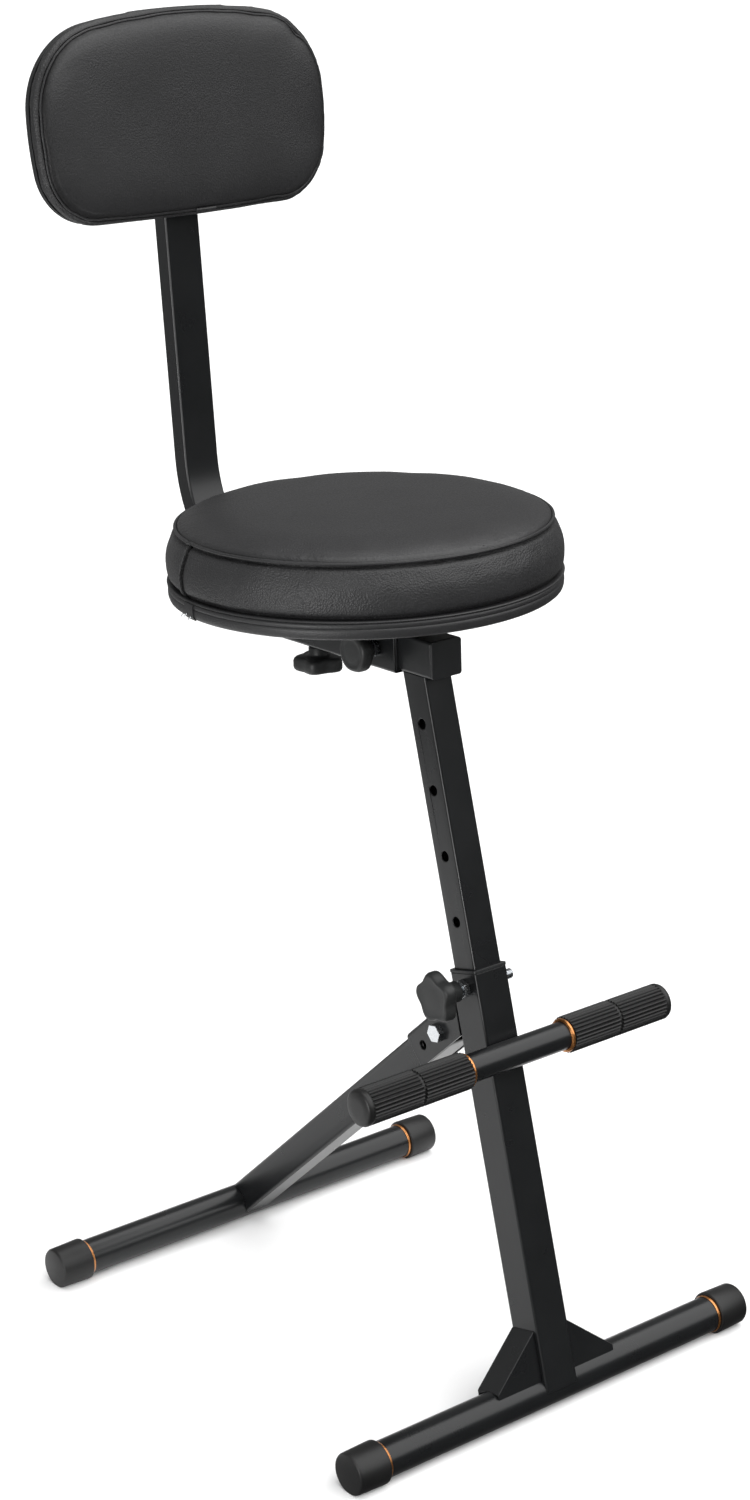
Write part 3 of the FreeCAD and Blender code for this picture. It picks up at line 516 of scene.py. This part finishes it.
def grip():
    """Sleeve along +Z with two ribbed barrels, a smooth waist between them and a domed end."""
    bm = turned([(GRIP_BORE_R, GRIP_START + 0.6), (SLEEVE_R, GRIP_START + 0.6), (SLEEVE_R, RIB_STOP - 0.5),
                 (17.2, RIB_STOP), (GRIP_R, RIB_STOP + 0.8), (GRIP_R, GRIP_END - 4.4),
                 (GRIP_R - 0.9, GRIP_END - 2.2), (GRIP_R - 2.4, GRIP_END - 1.0),
                 (GRIP_R - 3.6, GRIP_END - 0.9), (GRIP_R - 4.4, GRIP_END - 0.5), (8.0, GRIP_END - 0.1),
                 (0, GRIP_END), (0, GRIP_END - 4), (GRIP_BORE_R, GRIP_END - 4)], closed=True)
    ribbed_barrel(bm, GRIP_START, GRIP_WAIST - WAIST_WIDTH / 2)
    ribbed_barrel(bm, GRIP_WAIST + WAIST_WIDTH / 2, RIB_STOP)
    bmesh.ops.recalc_face_normals(bm, faces=bm.faces)
    return bm


REST = POST @ Matrix.Translation(Vector((0, -32.5, 325.7)) * MM)
for side, turn in (("right", TO_RIGHT), ("left", TO_LEFT)):
    new_piece("footrest_grip_rubber_" + side, carry(grip(), REST, turn), "front_frame",
              RUBBER, ["footrest_grip_" + side], smooth=50)
rings = carry(ring_pair(GRIP_START, REST_RING_WIDTH, REST_TUBE_R, REST_RING_R), REST)
new_piece("footrest_ring_lacquer", rings, "front_frame", COPPER, ["footrest_rings"])
print("made two grips with", RIBS, "ribs each")

# %% [markdown]
# The three clamping knobs are moulded: a round neck carries a thick disc with five shallow lobes, whose
# rim is fully rounded for the hand. Pinching is easier than drawing the star: the knob is first turned as
# a round body, and then every point is moved towards the axis between the lobes, more at the rim than
# near the middle. That keeps the rim's rounding whole.

# %% Star knobs
LOBES = 5
STAR_THICK = 14.0
STUD_HOLE_R = 5.0
PINCH_START_R = 9.0


def star_knob(neck, star_r, pinch):
    """Knob along +Z: its neck starts at 0 and carries the star, whose valleys are pinched in."""
    top = neck + STAR_THICK
    stem = [(STUD_HOLE_R, 0), (9.2, 0), (10.0, 0.8), (10.0, neck - 2.6), (10.6, neck - 1.2), (12.5, neck)]
    rim = [(star_r - 5.4, neck), (star_r - 2.6, neck + 0.6), (star_r - 0.8, neck + 2.2), (star_r, neck + 4.4),
           (star_r, top - 3.8), (star_r - 0.7, top - 1.8), (star_r - 2.2, top - 0.4), (star_r - 4.0, top)]
    face = [(star_r - 5.8, top - 0.3), (star_r - 8.0, top - 0.5), (9.0, top - 0.3), (5.0, top - 0.1),
            (0, top - 0.1)]
    hole = [(0, neck + 6), (STUD_HOLE_R, neck + 6)]
    bm = turned(stem + rim + face + hole, closed=True, steps=LOBES * 24)
    for vert in bm.verts:
        reach = vert.co.xy.length / MM
        valley = 0.5 - 0.5 * math.cos(LOBES * math.atan2(vert.co.y, vert.co.x))
        weight = max(0.0, (reach - PINCH_START_R) / (star_r - PINCH_START_R)) ** 1.5
        if weight > 0:
            vert.co.xy *= 1 - pinch * valley * weight / reach
    return bm


LOCK_HEIGHT = 390.0
HEIGHT_AXIS = POST @ Matrix.Translation(Vector((0, 0, LOCK_HEIGHT)) * MM) @ TO_RIGHT
SIDE_AXIS = SEAT @ Matrix.Translation(Vector((0, -38, -46.5)) * MM) @ TO_RIGHT
CLAMP_AXIS = SEAT @ Matrix.Translation(Vector((0, 76, 0)) * MM) @ Matrix.Rotation(math.pi, 4, "X")
# Name, axis, start of the neck along it, neck length, star radius and pinch of the valleys.
KNOBS = (("height_knob", HEIGHT_AXIS, 29.2, 16.0, 25.0, 4.8), ("side_knob", SIDE_AXIS, 29.3, 7.0, 19.0, 1.0),
         ("clamp_knob", CLAMP_AXIS, 71.7, 9.0, 25.0, 4.8))
for name, axis, start, neck, star_r, pinch in KNOBS:
    knob = star_knob(neck, star_r, pinch)
    carry(knob, axis, Matrix.Translation((0, 0, start * MM)))
    new_piece(name + "_nylon", knob, name, NYLON, [name], smooth=50)
print("made", len(KNOBS), "star knobs")

# %% [markdown]
# Between knob and nut a few turns of the stud's thread show. A screw thread is a spin that climbs: the
# same operator sweeps one tooth of the profile around the axis and moves it along by the pitch. Where
# one turn ends, the next begins, so merging doubles closes the skin, and two plane cuts square the ends.

# %% Threaded studs
PITCH = 1.5
STUD_R = 4.9
THREAD_DEPTH = 0.85
STEPS_PER_TURN = 24


def thread(start, end):
    """Threaded rod along +Z between two heights in millimetres."""
    bm = bmesh.new()
    turns = math.ceil((end - start) / PITCH) + 2
    root = STUD_R - THREAD_DEPTH
    tooth = [(root, 0), (STUD_R, 0.6), (STUD_R, 0.85), (root, PITCH)]
    points = [bm.verts.new(Vector((r, 0, start - PITCH + h)) * MM) for r, h in tooth]
    for low, high in zip(points, points[1:]):
        bm.edges.new((low, high))
    bmesh.ops.spin(bm, geom=bm.verts[:] + bm.edges[:], cent=(0, 0, 0), axis=(0, 0, 1),
                   steps=STEPS_PER_TURN * turns, dvec=(0, 0, PITCH * MM / STEPS_PER_TURN),
                   angle=math.tau * turns, use_merge=False, use_duplicate=False)
    bmesh.ops.remove_doubles(bm, verts=bm.verts, dist=0.004 * MM)
    cut_off(bm, (0, 0, start * MM), (0, 0, -1))
    cut_off(bm, (0, 0, end * MM), (0, 0, 1))
    bmesh.ops.recalc_face_normals(bm, faces=bm.faces)
    return bm


FAR_AXIS = POST @ Matrix.Translation(Vector((0, 0, LOCK_HEIGHT)) * MM) @ TO_LEFT
# Node, axis, and where its thread starts and ends along it.
STUDS = (("height_stud", HEIGHT_AXIS, 16.4, 52.4), ("side_stud", SIDE_AXIS, 20.6, 43.5),
         ("clamp_stud", CLAMP_AXIS, 48.6, 87.9), ("far_bolt_end", FAR_AXIS, 16.4, 36.0))
for node, axis, start, end in STUDS:
    rod = carry(thread(start, end), axis)
    new_piece(node + "_thread", rod, BODY_OF[node], ZINC, [node], smooth=25)
print("made", len(STUDS), "threads of pitch", PITCH, "mm")

# %% [markdown]
# The cushion and the backrest pad are foam in a sewn skin. Their CAD solids have the right size but are
# built of flat and straight faces. Cloth with air pressure turns them into upholstery: each solid is
# copied, drawn in a little, remeshed into even voxels, and blown up while its base is held where it is
# glued to the board. The swelling is capped, so the cushion keeps its size.

# %% Helpers for the upholstery
VOXEL = 4.5 * MM
DRAWN_IN = 3.0 * MM
MOST_SWELL = 7.0 * MM
KEPT_SHAPE = 0.75
FRAMES = 20
TAUT_ROUNDS = 60


def bake(piece):
    """Replaces the piece's mesh by what its modifiers make of it."""
    shown = piece.evaluated_get(bpy.context.evaluated_depsgraph_get())
    mesh = bpy.data.meshes.new_from_object(shown)
    piece.modifiers.clear()
    old, piece.data = piece.data, mesh
    bpy.data.meshes.remove(old)


def foam_copy(node):
    """Free-standing copy of a soft CAD solid, remeshed into even voxels."""
    bm = merged_copy(node)
    mesh = bpy.data.meshes.new(node + "_foam")
    bm.to_mesh(mesh)
    bm.free()
    foam = in_scene(node + "_foam", mesh)
    voxels = foam.modifiers.new("voxels", "REMESH")
    voxels.mode = "VOXEL"
    voxels.voxel_size = VOXEL
    bake(foam)
    return foam


def blow_up(foam):
    """Cloth simulation with air pressure inside and the group "held" pinned; caps the swelling."""
    start = [vert.co.copy() for vert in foam.data.vertices]
    cloth = foam.modifiers.new("stuffing", "CLOTH")
    cloth.settings.quality = 4
    cloth.settings.vertex_group_mass = "held"
    cloth.settings.use_pressure = True
    cloth.settings.uniform_pressure_force = 4.0
    cloth.settings.bending_stiffness = 2.0
    cloth.settings.effector_weights.gravity = 0.0
    cloth.point_cache.frame_end = FRAMES
    for number in range(1, FRAMES + 1):
        bpy.context.scene.frame_set(number)
    bake(foam)
    bpy.context.scene.frame_set(1)
    for vert, origin in zip(foam.data.vertices, start):
        swell = vert.co - origin
        if swell.length > MOST_SWELL:
            vert.co = origin + swell * (MOST_SWELL / swell.length)


def relax(bm, verts, rounds):
    """Evens out the skin, as a stretched cover does over foam."""
    for _ in range(rounds):
        bmesh.ops.smooth_vert(bm, verts=verts, factor=0.5, use_axis_x=True, use_axis_y=True, use_axis_z=True)


def upholstered(node, own, held_below, taut, settle, swell_mm):
    """Bmesh of a stuffed soft solid. What lies below a height of its own frame is held by the board, the skin
    settles most of the way back to the foam's cut shape, what is taut loses the corners of that shape, and a
    last swelling makes up for what settling takes off."""
    foam = foam_copy(node)
    cut_shape = BVHTree.FromPolygons([vert.co for vert in foam.data.vertices],
                                     [face.vertices for face in foam.data.polygons])
    to_own = own.inverted()
    held = foam.vertex_groups.new(name="held")
    for vert in foam.data.vertices:
        if (to_own @ vert.co).z < held_below * MM:
            held.add([vert.index], 1.0, "REPLACE")
        else:
            vert.co -= vert.normal * DRAWN_IN
    blow_up(foam)
    for vert in foam.data.vertices:
        vert.co = vert.co.lerp(cut_shape.find_nearest(vert.co)[0], KEPT_SHAPE)
    finer = foam.modifiers.new("finer skin", "SUBSURF")
    finer.levels = finer.render_levels = 1
    bake(foam)
    bm = bmesh.new()
    bm.from_mesh(foam.data)
    bpy.data.objects.remove(foam)
    relax(bm, bm.verts, settle)
    relax(bm, [vert for vert in bm.verts if taut(to_own @ vert.co)], TAUT_ROUNDS)
    bm.normal_update()
    for vert in bm.verts:
        if (to_own @ vert.co).z > held_below * MM:
            vert.co += vert.normal * swell_mm * MM
    return bm


print("upholstery is remeshed at", VOXEL / MM, "mm")

# %% [markdown]
# Thread pulls the skin in along a seam. First a plane cuts an edge loop into the skin there, so that the
# fold can be crisp. Then each point near the seam is moved inwards, along its normal or straight back, by
# an amount that fades with distance, and a slow noise along the seam adds the puckers of a sewn edge. The
# same fade, scaled by dark, is stored as an attribute that paints shade into the fold. The welt, a thin roll
# of skin between two panels, follows the line where a plane cuts the finished skin.

# %% Seams and welts
def score(bm, own, point_mm, facing, where=None):
    """Cuts the skin along a plane of its own frame, everywhere or only where the given test holds."""
    to_own = own.inverted()
    faces = [face for face in bm.faces if where is None or where(to_own @ face.calc_center_median())]
    edges = {edge for face in faces for edge in face.edges}
    verts = {vert for face in faces for vert in face.verts}
    bmesh.ops.bisect_plane(bm, geom=[*verts, *edges, *faces], dist=0.05 * MM,
                           plane_co=own @ (Vector(point_mm) * MM), plane_no=own.to_3x3() @ Vector(facing))


def score_levels(bm, own, heights_mm):
    """Cuts level loops at heights of the piece's own frame."""
    for height in heights_mm:
        score(bm, own, (0, 0, height), (0, 0, 1))


def true_up(bm, own, heights_mm, rounds=40):
    """Evens out level loops along their own line, as a taut thread does, and settles the skin between."""
    to_own = own.inverted()
    loops, between = set(), []
    for vert in bm.verts:
        height = (to_own @ vert.co).z / MM
        if min(abs(height - level) for level in heights_mm) < 0.06:
            loops.add(vert)
        elif min(heights_mm) < height < max(heights_mm):
            between.append(vert)
    beside = {}
    for vert in loops:
        pair = [edge.other_vert(vert) for edge in vert.link_edges if edge.other_vert(vert) in loops]
        if len(pair) == 2:
            beside[vert] = pair
    for _ in range(rounds):
        places = {vert: vert.co / 2 + (one.co + other.co) / 4 for vert, (one, other) in beside.items()}
        for vert, place in places.items():
            vert.co = place
    relax(bm, between, 24)


def store_slack(bm, own, test):
    """Stores 1 where the skin hangs loose and 0 where it is taut."""
    slack = bm.verts.layers.float.new("slack")
    to_own = own.inverted()
    for vert in bm.verts:
        vert[slack] = 1.0 if test(to_own @ vert.co) else 0.0


def draw_in(bm, own, distance, width_mm, depth_mm, pucker_mm=0.0, dark=0.0, pull=None):
    """Pulls the skin in along a seam; distance gives a point's distance from it in the piece's own frame. The
    skin goes in along its normals, or all one way if a pull is given."""
    bm.normal_update()
    painted_seam_shade = bm.verts.layers.float.get("painted_seam_shade") or bm.verts.layers.float.new("painted_seam_shade")
    to_own = own.inverted()
    moves = []
    for vert in bm.verts:
        place = to_own @ vert.co
        away = distance(place) / (width_mm * MM)
        fade = math.exp(-away ** 2)
        pucker = noise.noise(place * per_metre(20)) * pucker_mm * math.exp(-(away / 6) ** 2)
        inwards = own.to_3x3() @ Vector(pull) if pull else -vert.normal
        moves.append(inwards * (depth_mm * fade + pucker) * MM)
        # Painted shade: dark times the fade is kept in the attribute that darkens the fold's colour and
        # reflection.
        vert[painted_seam_shade] = max(vert[painted_seam_shade], dark * fade)
    for vert, move in zip(bm.verts, moves):
        vert.co += move


def seam_line(bm, own, height_mm, every=2):
    """Points in order around the skin where the plane of that height in its own frame cuts it."""
    skin = bm.copy()
    level = own @ Vector((0, 0, height_mm * MM))
    cut = bmesh.ops.bisect_plane(skin, geom=skin.verts[:] + skin.edges[:] + skin.faces[:], dist=1e-7,
                                 plane_co=level, plane_no=own.to_3x3() @ Vector((0, 0, 1)))
    rim = {item for item in cut["geom_cut"] if isinstance(item, bmesh.types.BMEdge)}
    vert = next(iter(sorted(rim, key=lambda edge: edge.index))).verts[0]
    line = []
    while rim:
        step = next((edge for edge in vert.link_edges if edge in rim), None)
        if step is None:
            break
        rim.discard(step)
        line.append(vert.co.copy())
        vert = step.other_vert(vert)
    skin.free()
    middle = [(a + b + c) / 3 for a, b, c in zip(line[-1:] + line[:-1], line, line[1:] + line[:1])]
    return middle[::every]


def lifted(points, own, away_mm, up_mm):
    """Points moved away from the axis and up in a piece's own frame."""
    to_own = own.inverted()
    moved = []
    for point in points:
        place = to_own @ point
        out = Vector((place.x, place.y, 0)).normalized() * away_mm
        moved.append(own @ (place + (out + Vector((0, 0, up_mm))) * MM))
    return moved


def roll_along(points, radius_mm, closed=True):
    """Bmesh of a thin round roll along points, read from a curve with a round bevel."""
    curve = bpy.data.curves.new("roll", "CURVE")
    curve.dimensions = "3D"
    curve.bevel_depth = radius_mm * MM
    curve.bevel_resolution = 2
    curve.use_fill_caps = not closed
    spline = curve.splines.new("POLY")
    spline.points.add(len(points) - 1)
    for point, place in zip(spline.points, points):
        point.co = (*place, 1)
    spline.use_cyclic_u = closed
    roll = bpy.data.objects.new("roll", curve)
    mesh = bpy.data.meshes.new_from_object(roll)
    bm = bmesh.new()
    bm.from_mesh(mesh)
    for block, data in ((bpy.data.objects, roll), (bpy.data.curves, curve), (bpy.data.meshes, mesh)):
        block.remove(data)
    bmesh.ops.remove_doubles(bm, verts=bm.verts, dist=0.01 * MM)
    bmesh.ops.recalc_face_normals(bm, faces=bm.faces)
    return bm


print("seam helpers ready")

# %% [markdown]
# The seat is a boxed cushion: a round crowned top panel, sewn with a welt to a side band that stands on
# the board's edge trim. The band has one upright seam with a folded lip beside it, it swells a little at
# half height, and it is tucked in where it meets the trim.

# %% Seat cushion
SEAT_SEAM = 64.0
SEAT_SEAM_R = 177.0
BAND_SEAM = math.radians(168)
BAND_FOOT = 16.5
BAND_FOOT_R = 184.0
BAND_INNER_R = 165.0
BAND_MIDDLE = 38.0
LIP_OFFSET = 3.6


def around(place):
    return math.hypot(place.x, place.y)


def from_top_seam(place):
    return math.hypot(around(place) - SEAT_SEAM_R * MM, place.z - SEAT_SEAM * MM)


def from_band_foot(place):
    return math.hypot(around(place) - BAND_FOOT_R * MM, place.z - BAND_FOOT * MM)


def from_band_middle(place):
    return abs(place.z - BAND_MIDDLE * MM) + (0.0 if around(place) > BAND_INNER_R * MM else 1.0)


def on_band(place):
    return around(place) > BAND_INNER_R * MM and place.z < SEAT_SEAM * MM and place.x < 0


def beside_band_seam(place, offset_mm):
    """Distance from an upright line of the band that runs beside its seam."""
    if not on_band(place):
        return 1.0
    return abs(place.x * math.sin(BAND_SEAM) - place.y * math.cos(BAND_SEAM) - offset_mm * MM)


def on_top_panel(place):
    return place.z > (SEAT_SEAM + 5) * MM and around(place) < (SEAT_SEAM_R - 8) * MM


seat = upholstered("seat_cushion", SEAT, held_below=18, taut=on_top_panel, settle=6, swell_mm=0.6)
around_seam = Vector((math.sin(BAND_SEAM), -math.cos(BAND_SEAM), 0))
for offset in (-1.8, -0.9, 0.0, 0.9, 1.8, 3.0, 4.5, 6.0):
    score(seat, SEAT, around_seam * offset, around_seam, on_band)
top_loops = [SEAT_SEAM + step for step in (-4.5, -3, -1.5, 0, 1.5, 3, 4.5)]
foot_loops = [BAND_FOOT + step for step in (0.5, 1.5, 3.0)]
score_levels(seat, SEAT, top_loops + foot_loops)
true_up(seat, SEAT, top_loops)
true_up(seat, SEAT, foot_loops)
store_slack(seat, SEAT, lambda place: place.z < SEAT_SEAM * MM)
draw_in(seat, SEAT, from_band_middle, width_mm=15.0, depth_mm=-0.8)
# Where dark is given, the fold also gets painted shade through the seam shade attribute.
draw_in(seat, SEAT, from_top_seam, width_mm=3.0, depth_mm=3.4, pucker_mm=0.25, dark=1.0)
draw_in(seat, SEAT, from_band_foot, width_mm=3.4, depth_mm=2.6, pucker_mm=0.2, dark=1.0)
draw_in(seat, SEAT, lambda place: beside_band_seam(place, LIP_OFFSET), width_mm=2.2, depth_mm=-2.0)
draw_in(seat, SEAT, lambda place: beside_band_seam(place, 0.0), width_mm=1.5, depth_mm=4.0, dark=1.0)

welt_line = lifted(seam_line(seat, SEAT, SEAT_SEAM), SEAT, away_mm=1.4, up_mm=1.2)
new_piece("seat_welt", roll_along(welt_line, radius_mm=1.6), "seat", LEATHERETTE)
cushion = new_piece("seat_upholstery", seat, "seat", LEATHERETTE, ["seat_cushion"], smooth=180)
print("seat cushion has", len(cushion.data.polygons), "faces; welt follows", len(welt_line), "points")

# %% [markdown]
# The trim is leatherette that wraps the board's edge, ends above in a folded bead and is stapled below.
# Where its ends meet, one laps over the other under three more staples. One spun profile makes the wrap,
# and a short sweep of a second one makes the lap.

# %% Seat trim with its staples
STAPLES = 44
STAPLE_R = 160.0
LAP_START, LAP_SWEEP = 169.0, 5.0
LAP_STAPLES = ((167.6, 0.4), (170.0, 2.0), (172.4, 0.6))


def seat_wrap():
    """Wrap of the board's edge: flat below, a groove at half height and a folded bead on top."""
    below = [(150, -0.1), (150, -1.5), (176, -1.6), (180.6, -1.2), (182.6, 0.4), (183.4, 2.8)]
    side = [(183.7, 6.0), (183.5, 8.2), (182.8, 8.8), (183.5, 9.4), (183.7, 11.5), (183.2, 13.0)]
    bead = [(182.4, 13.6), (183.6, 14.2), (184.3, 15.0), (184.0, 15.8), (182.8, 16.1), (180, 16.0)]
    inside = [(173.1, 16.0), (173.1, -0.1)]
    return turned(below + side + bead + inside, closed=True, steps=144)


def staples(count, radius):
    """Flat wire staples lying under the board, around its edge."""
    bm = bmesh.new()
    for number in range(count):
        turn = Matrix.Rotation(math.tau * number / count, 4, "Z")
        lay = Matrix.Translation(Vector((radius, 0, -1.8)) * MM) @ Matrix.Rotation(math.radians(70), 4, "Z")
        size = Matrix.Diagonal(Vector((10, 1.2, 0.7, 1 / MM)) * MM)
        bmesh.ops.create_cube(bm, size=1.0, matrix=turn @ lay @ size)
    soften(bm, 0.25, segments=1)
    return bm


def trim_lap():
    """Short double layer where the ends of the wrap overlap."""
    outside = [(181.6, -1.9), (183.9, 0.2), (184.6, 3.0), (184.8, 7.0), (184.8, 12.0), (183.9, 13.2)]
    inside = [(182.6, 12.6), (182.6, 1.2), (181.0, -1.0)]
    strip = turned(outside + inside, closed=True, steps=6, sweep=math.radians(LAP_SWEEP))
    return carry(strip, Matrix.Rotation(math.radians(LAP_START), 4, "Z"))


def lap_staples():
    """Three staples that hold the lap, seen from outside at the wrap's lower edge."""
    bm = bmesh.new()
    for degrees, height in LAP_STAPLES:
        turn = Matrix.Rotation(math.radians(degrees), 4, "Z")
        lean = Matrix.Translation(Vector((185.2, 0, height)) * MM) @ Matrix.Rotation(math.radians(35), 4, "X")
        size = Matrix.Diagonal(Vector((1.0, 7.5, 1.3, 1 / MM)) * MM)
        tip = Matrix.Rotation(math.radians(-22), 4, "Y")
        bmesh.ops.create_cube(bm, size=1.0, matrix=turn @ lean @ tip @ size)
    soften(bm, 0.25, segments=1)
    return bm


new_piece("seat_trim_lap", carry(trim_lap(), SEAT), "seat", LEATHERETTE, smooth=60)
new_piece("seat_lap_staples", carry(lap_staples(), SEAT), "seat", ZINC)
new_piece("seat_trim_wrap", carry(seat_wrap(), SEAT), "seat", LEATHERETTE, ["seat_trim"],
          smooth=60)
new_piece("seat_staples", carry(staples(STAPLES, STAPLE_R), SEAT), "seat", ZINC)
print("made the seat trim with", STAPLES, "staples")

# %% [markdown]
# The backrest pad is blown up in the same way. In its own frame +Z points out of its front, so its seams
# are lines of constant height: one valley around the front panel and one where the skin meets the rear
# cover. Thread pulls the foam's shoulder back to the front seam, which also flattens the panel, so heights
# above the shoulder are squeezed by a formula. The ends of its welt lap over each other at the bottom.

# %% Backrest pad
PAD = BACK @ Matrix.Rotation(math.radians(90), 4, "X")
PAD_SHOULDER = 16.0
SEAM_CUT = 25.6
PAD_SEAM = 22.5
CROWN = 10.0
CROWN_RISE = 1.6
LAP = 26.0
COVER_JOINT = 8.0


def from_front_seam(place):
    return abs(place.z - PAD_SEAM * MM)


def from_cover_joint(place):
    return abs(place.z - COVER_JOINT * MM)


def on_front_panel(place):
    return place.z > (SEAM_CUT + 1) * MM


def sewn_height(height):
    """Height of the skin over the board after the thread has pulled the foam's shoulder back to the seam."""
    if height < PAD_SHOULDER:
        return height
    if height < SEAM_CUT:
        return PAD_SHOULDER + (height - PAD_SHOULDER) * (PAD_SEAM - PAD_SHOULDER) / (SEAM_CUT - PAD_SHOULDER)
    return PAD_SEAM + CROWN * (1 - math.exp(-CROWN_RISE * (height - SEAM_CUT) / CROWN))


to_pad = PAD.inverted()
pad_skin = upholstered("backrest_pad", PAD, held_below=10, taut=on_front_panel, settle=14, swell_mm=1.4)
for vert in pad_skin.verts:
    place = to_pad @ vert.co
    place.z = sewn_height(place.z / MM) * MM
    vert.co = PAD @ place
relax(pad_skin, [vert for vert in pad_skin.verts if (to_pad @ vert.co).z > (PAD_SEAM + 2) * MM], 16)
front_loops = [PAD_SEAM + step for step in (-4, -2.4, -1.4, -0.7, 0, 0.8, 1.7, 3.0)]
score_levels(pad_skin, PAD, front_loops)
true_up(pad_skin, PAD, front_loops, rounds=120)
store_slack(pad_skin, PAD, lambda place: place.z < PAD_SEAM * MM)
# The painted shade of the fold reaches further than the fold itself.
draw_in(pad_skin, PAD, from_front_seam, width_mm=1.9, depth_mm=0.0, dark=1.0)
draw_in(pad_skin, PAD, from_front_seam, width_mm=0.8, depth_mm=2.4, dark=1.0, pull=(0, 0, -1))
beside_seam = [vert for vert in pad_skin.verts
               if PAD_SEAM - 4.5 < (to_pad @ vert.co).z / MM < PAD_SEAM + 6]
relax(pad_skin, beside_seam, 3)
# The joint with the rear cover gets a shallow groove and painted shade.
draw_in(pad_skin, PAD, from_cover_joint, width_mm=2.2, depth_mm=1.2, dark=0.9)
front_line = lifted(seam_line(pad_skin, PAD, PAD_SEAM - 1.6), PAD, away_mm=0.2, up_mm=0.5)
new_piece("backrest_welt", roll_along(front_line, radius_mm=1.2), "backrest", LEATHERETTE)
lap = [to_pad @ point for point in front_line]
lap = sorted((place for place in lap if 0 < place.x < LAP * MM and place.y < 0), key=lambda place: place.x)
lap = lifted([PAD @ place for place in lap], PAD, away_mm=0.4, up_mm=1.8)
lap_roll = roll_along(lap, radius_mm=1.6, closed=False)
new_piece("backrest_welt_lap", lap_roll, "backrest", LEATHERETTE)
pad = new_piece("backrest_upholstery", pad_skin, "backrest", LEATHERETTE, ["backrest_pad"],
                smooth=180)
dressed("backrest_cover", POLYPROPYLENE, 0.6)
print("backrest pad has", len(pad.data.polygons), "faces")

# %% [markdown]
# The stool stands on a large pale floor under soft studio light: a wide bright ceiling that leans to the
# front, dim walls that are a little brighter behind, and an upright strip light on the left that draws a
# thin line on rounded edges. Gloss would show the whole white floor, so only a reflector card behind the
# stool is mirrored, as black flags around a small sweep do in a studio.

# %% Floor and light
def paper():
    finish, tree, shader, place = new_finish("seamless white paper")
    # Paper fibre is far too fine to show, so a very faint cloud of 40 mm stands for it.
    fibre = cloud_of(tree, place, 40, detail=2)
    shade = colour_between(tree, "f6f6f6", "fafafa", fibre)
    link(tree, shader, {"Base Color": (shade, "Result_Color")})
    shader.inputs["Roughness"].default_value = 0.9
    shader.inputs["Specular IOR Level"].default_value = 0.2
    return finish


PAPER = paper()


def sheet_of_paper(name, half_size, place):
    ground = bmesh.new()
    bmesh.ops.create_grid(ground, x_segments=1, y_segments=1, size=half_size,
                          matrix=Matrix.Translation(place))
    mesh = bpy.data.meshes.new(name)
    ground.to_mesh(mesh)
    ground.free()
    mesh.materials.append(PAPER)
    sheet = in_scene(name, mesh)
    return sheet


floor = sheet_of_paper("floor", 30.0, (0, 0, 0))
floor.visible_glossy = False
card = sheet_of_paper("reflector", 0.7, (-0.3, 0.5, 0.0005))
card.visible_camera = False
card.visible_diffuse = False
card.visible_shadow = False


def soft_box(name, place, aim, width, height, power):
    lamp = bpy.data.lights.new(name, "AREA")
    lamp.shape = "RECTANGLE"
    lamp.size = width
    lamp.size_y = height
    lamp.energy = power
    box = in_scene(name, lamp)
    box.location = place
    box.rotation_euler = (Vector(aim) - Vector(place)).to_track_quat("-Z", "Y").to_euler()


soft_box("left_strip", place=(-2.4, -0.8, 0.6), aim=(0, 0, 0.6), width=0.35, height=1.2, power=36)
ceiling = bpy.data.lights.new("ceiling", "SUN")
ceiling.energy = 4.5
ceiling.angle = math.radians(95)
overhead = in_scene("ceiling", ceiling)
overhead.rotation_euler = Vector((-0.3, 0.45, -1.0)).to_track_quat("-Z", "Y").to_euler()

world = bpy.data.worlds.new("studio")
world.use_nodes = True
sky = world.node_tree
heading = add(sky, "ShaderNodeTexCoord")
behind = add(sky, "ShaderNodeVectorMath", {"Vector_001": (-0.35, 0.92, 0.15)},
             {"Vector": (heading, "Generated")}, operation="DOT_PRODUCT")
glow = add(sky, "ShaderNodeMapRange", {"From Min": -0.6, "From Max": 0.9, "To Min": 0.06, "To Max": 0.36},
           {"Value": (behind, "Value")})
# Seen directly, the far wall is as white as the floor; what it lights stays dim.
rays = add(sky, "ShaderNodeLightPath")
wall = add(sky, "ShaderNodeMath", {}, {"Value": (glow, "Result"), "Value_001": (rays, "Is Camera Ray")},
           operation="MAXIMUM")
link(sky, sky.nodes["Background"], {"Strength": (wall, "Value")})
sky.nodes["Background"].inputs["Color"].default_value = (1.0, 1.0, 1.0, 1.0)
bpy.context.scene.world = world
bpy.context.scene.view_settings.view_transform = "Standard"
print("lights:", len(bpy.data.lights))

# %% [markdown]
# The camera stands at the sitter's front right, a little above seat height, and looks slightly down. Its
# lens is given by the field of view over the image's height, because the picture is twice as high as wide.

# %% Camera
CAMERA_PLACE = (-1.6913, -2.1254, 1.5438)
CAMERA_AIM = (0, -0.0259, 0.5792)
LENS_MM = 72.95
view = bpy.data.cameras.new("camera")
view.sensor_fit = "VERTICAL"
view.sensor_height = 36.0
view.lens = LENS_MM
camera = in_scene("camera", view)
camera.location = CAMERA_PLACE
camera.rotation_euler = (Vector(CAMERA_AIM) - camera.location).to_track_quat("-Z", "Y").to_euler()
bpy.context.scene.camera = camera
print("camera height", round(camera.location.z, 3), "m")

# %% [markdown]
# Upholstery may swell a little, but the stool must keep its size. The last line brings the scene up to date.

# %% Finish
bpy.context.view_layer.update()
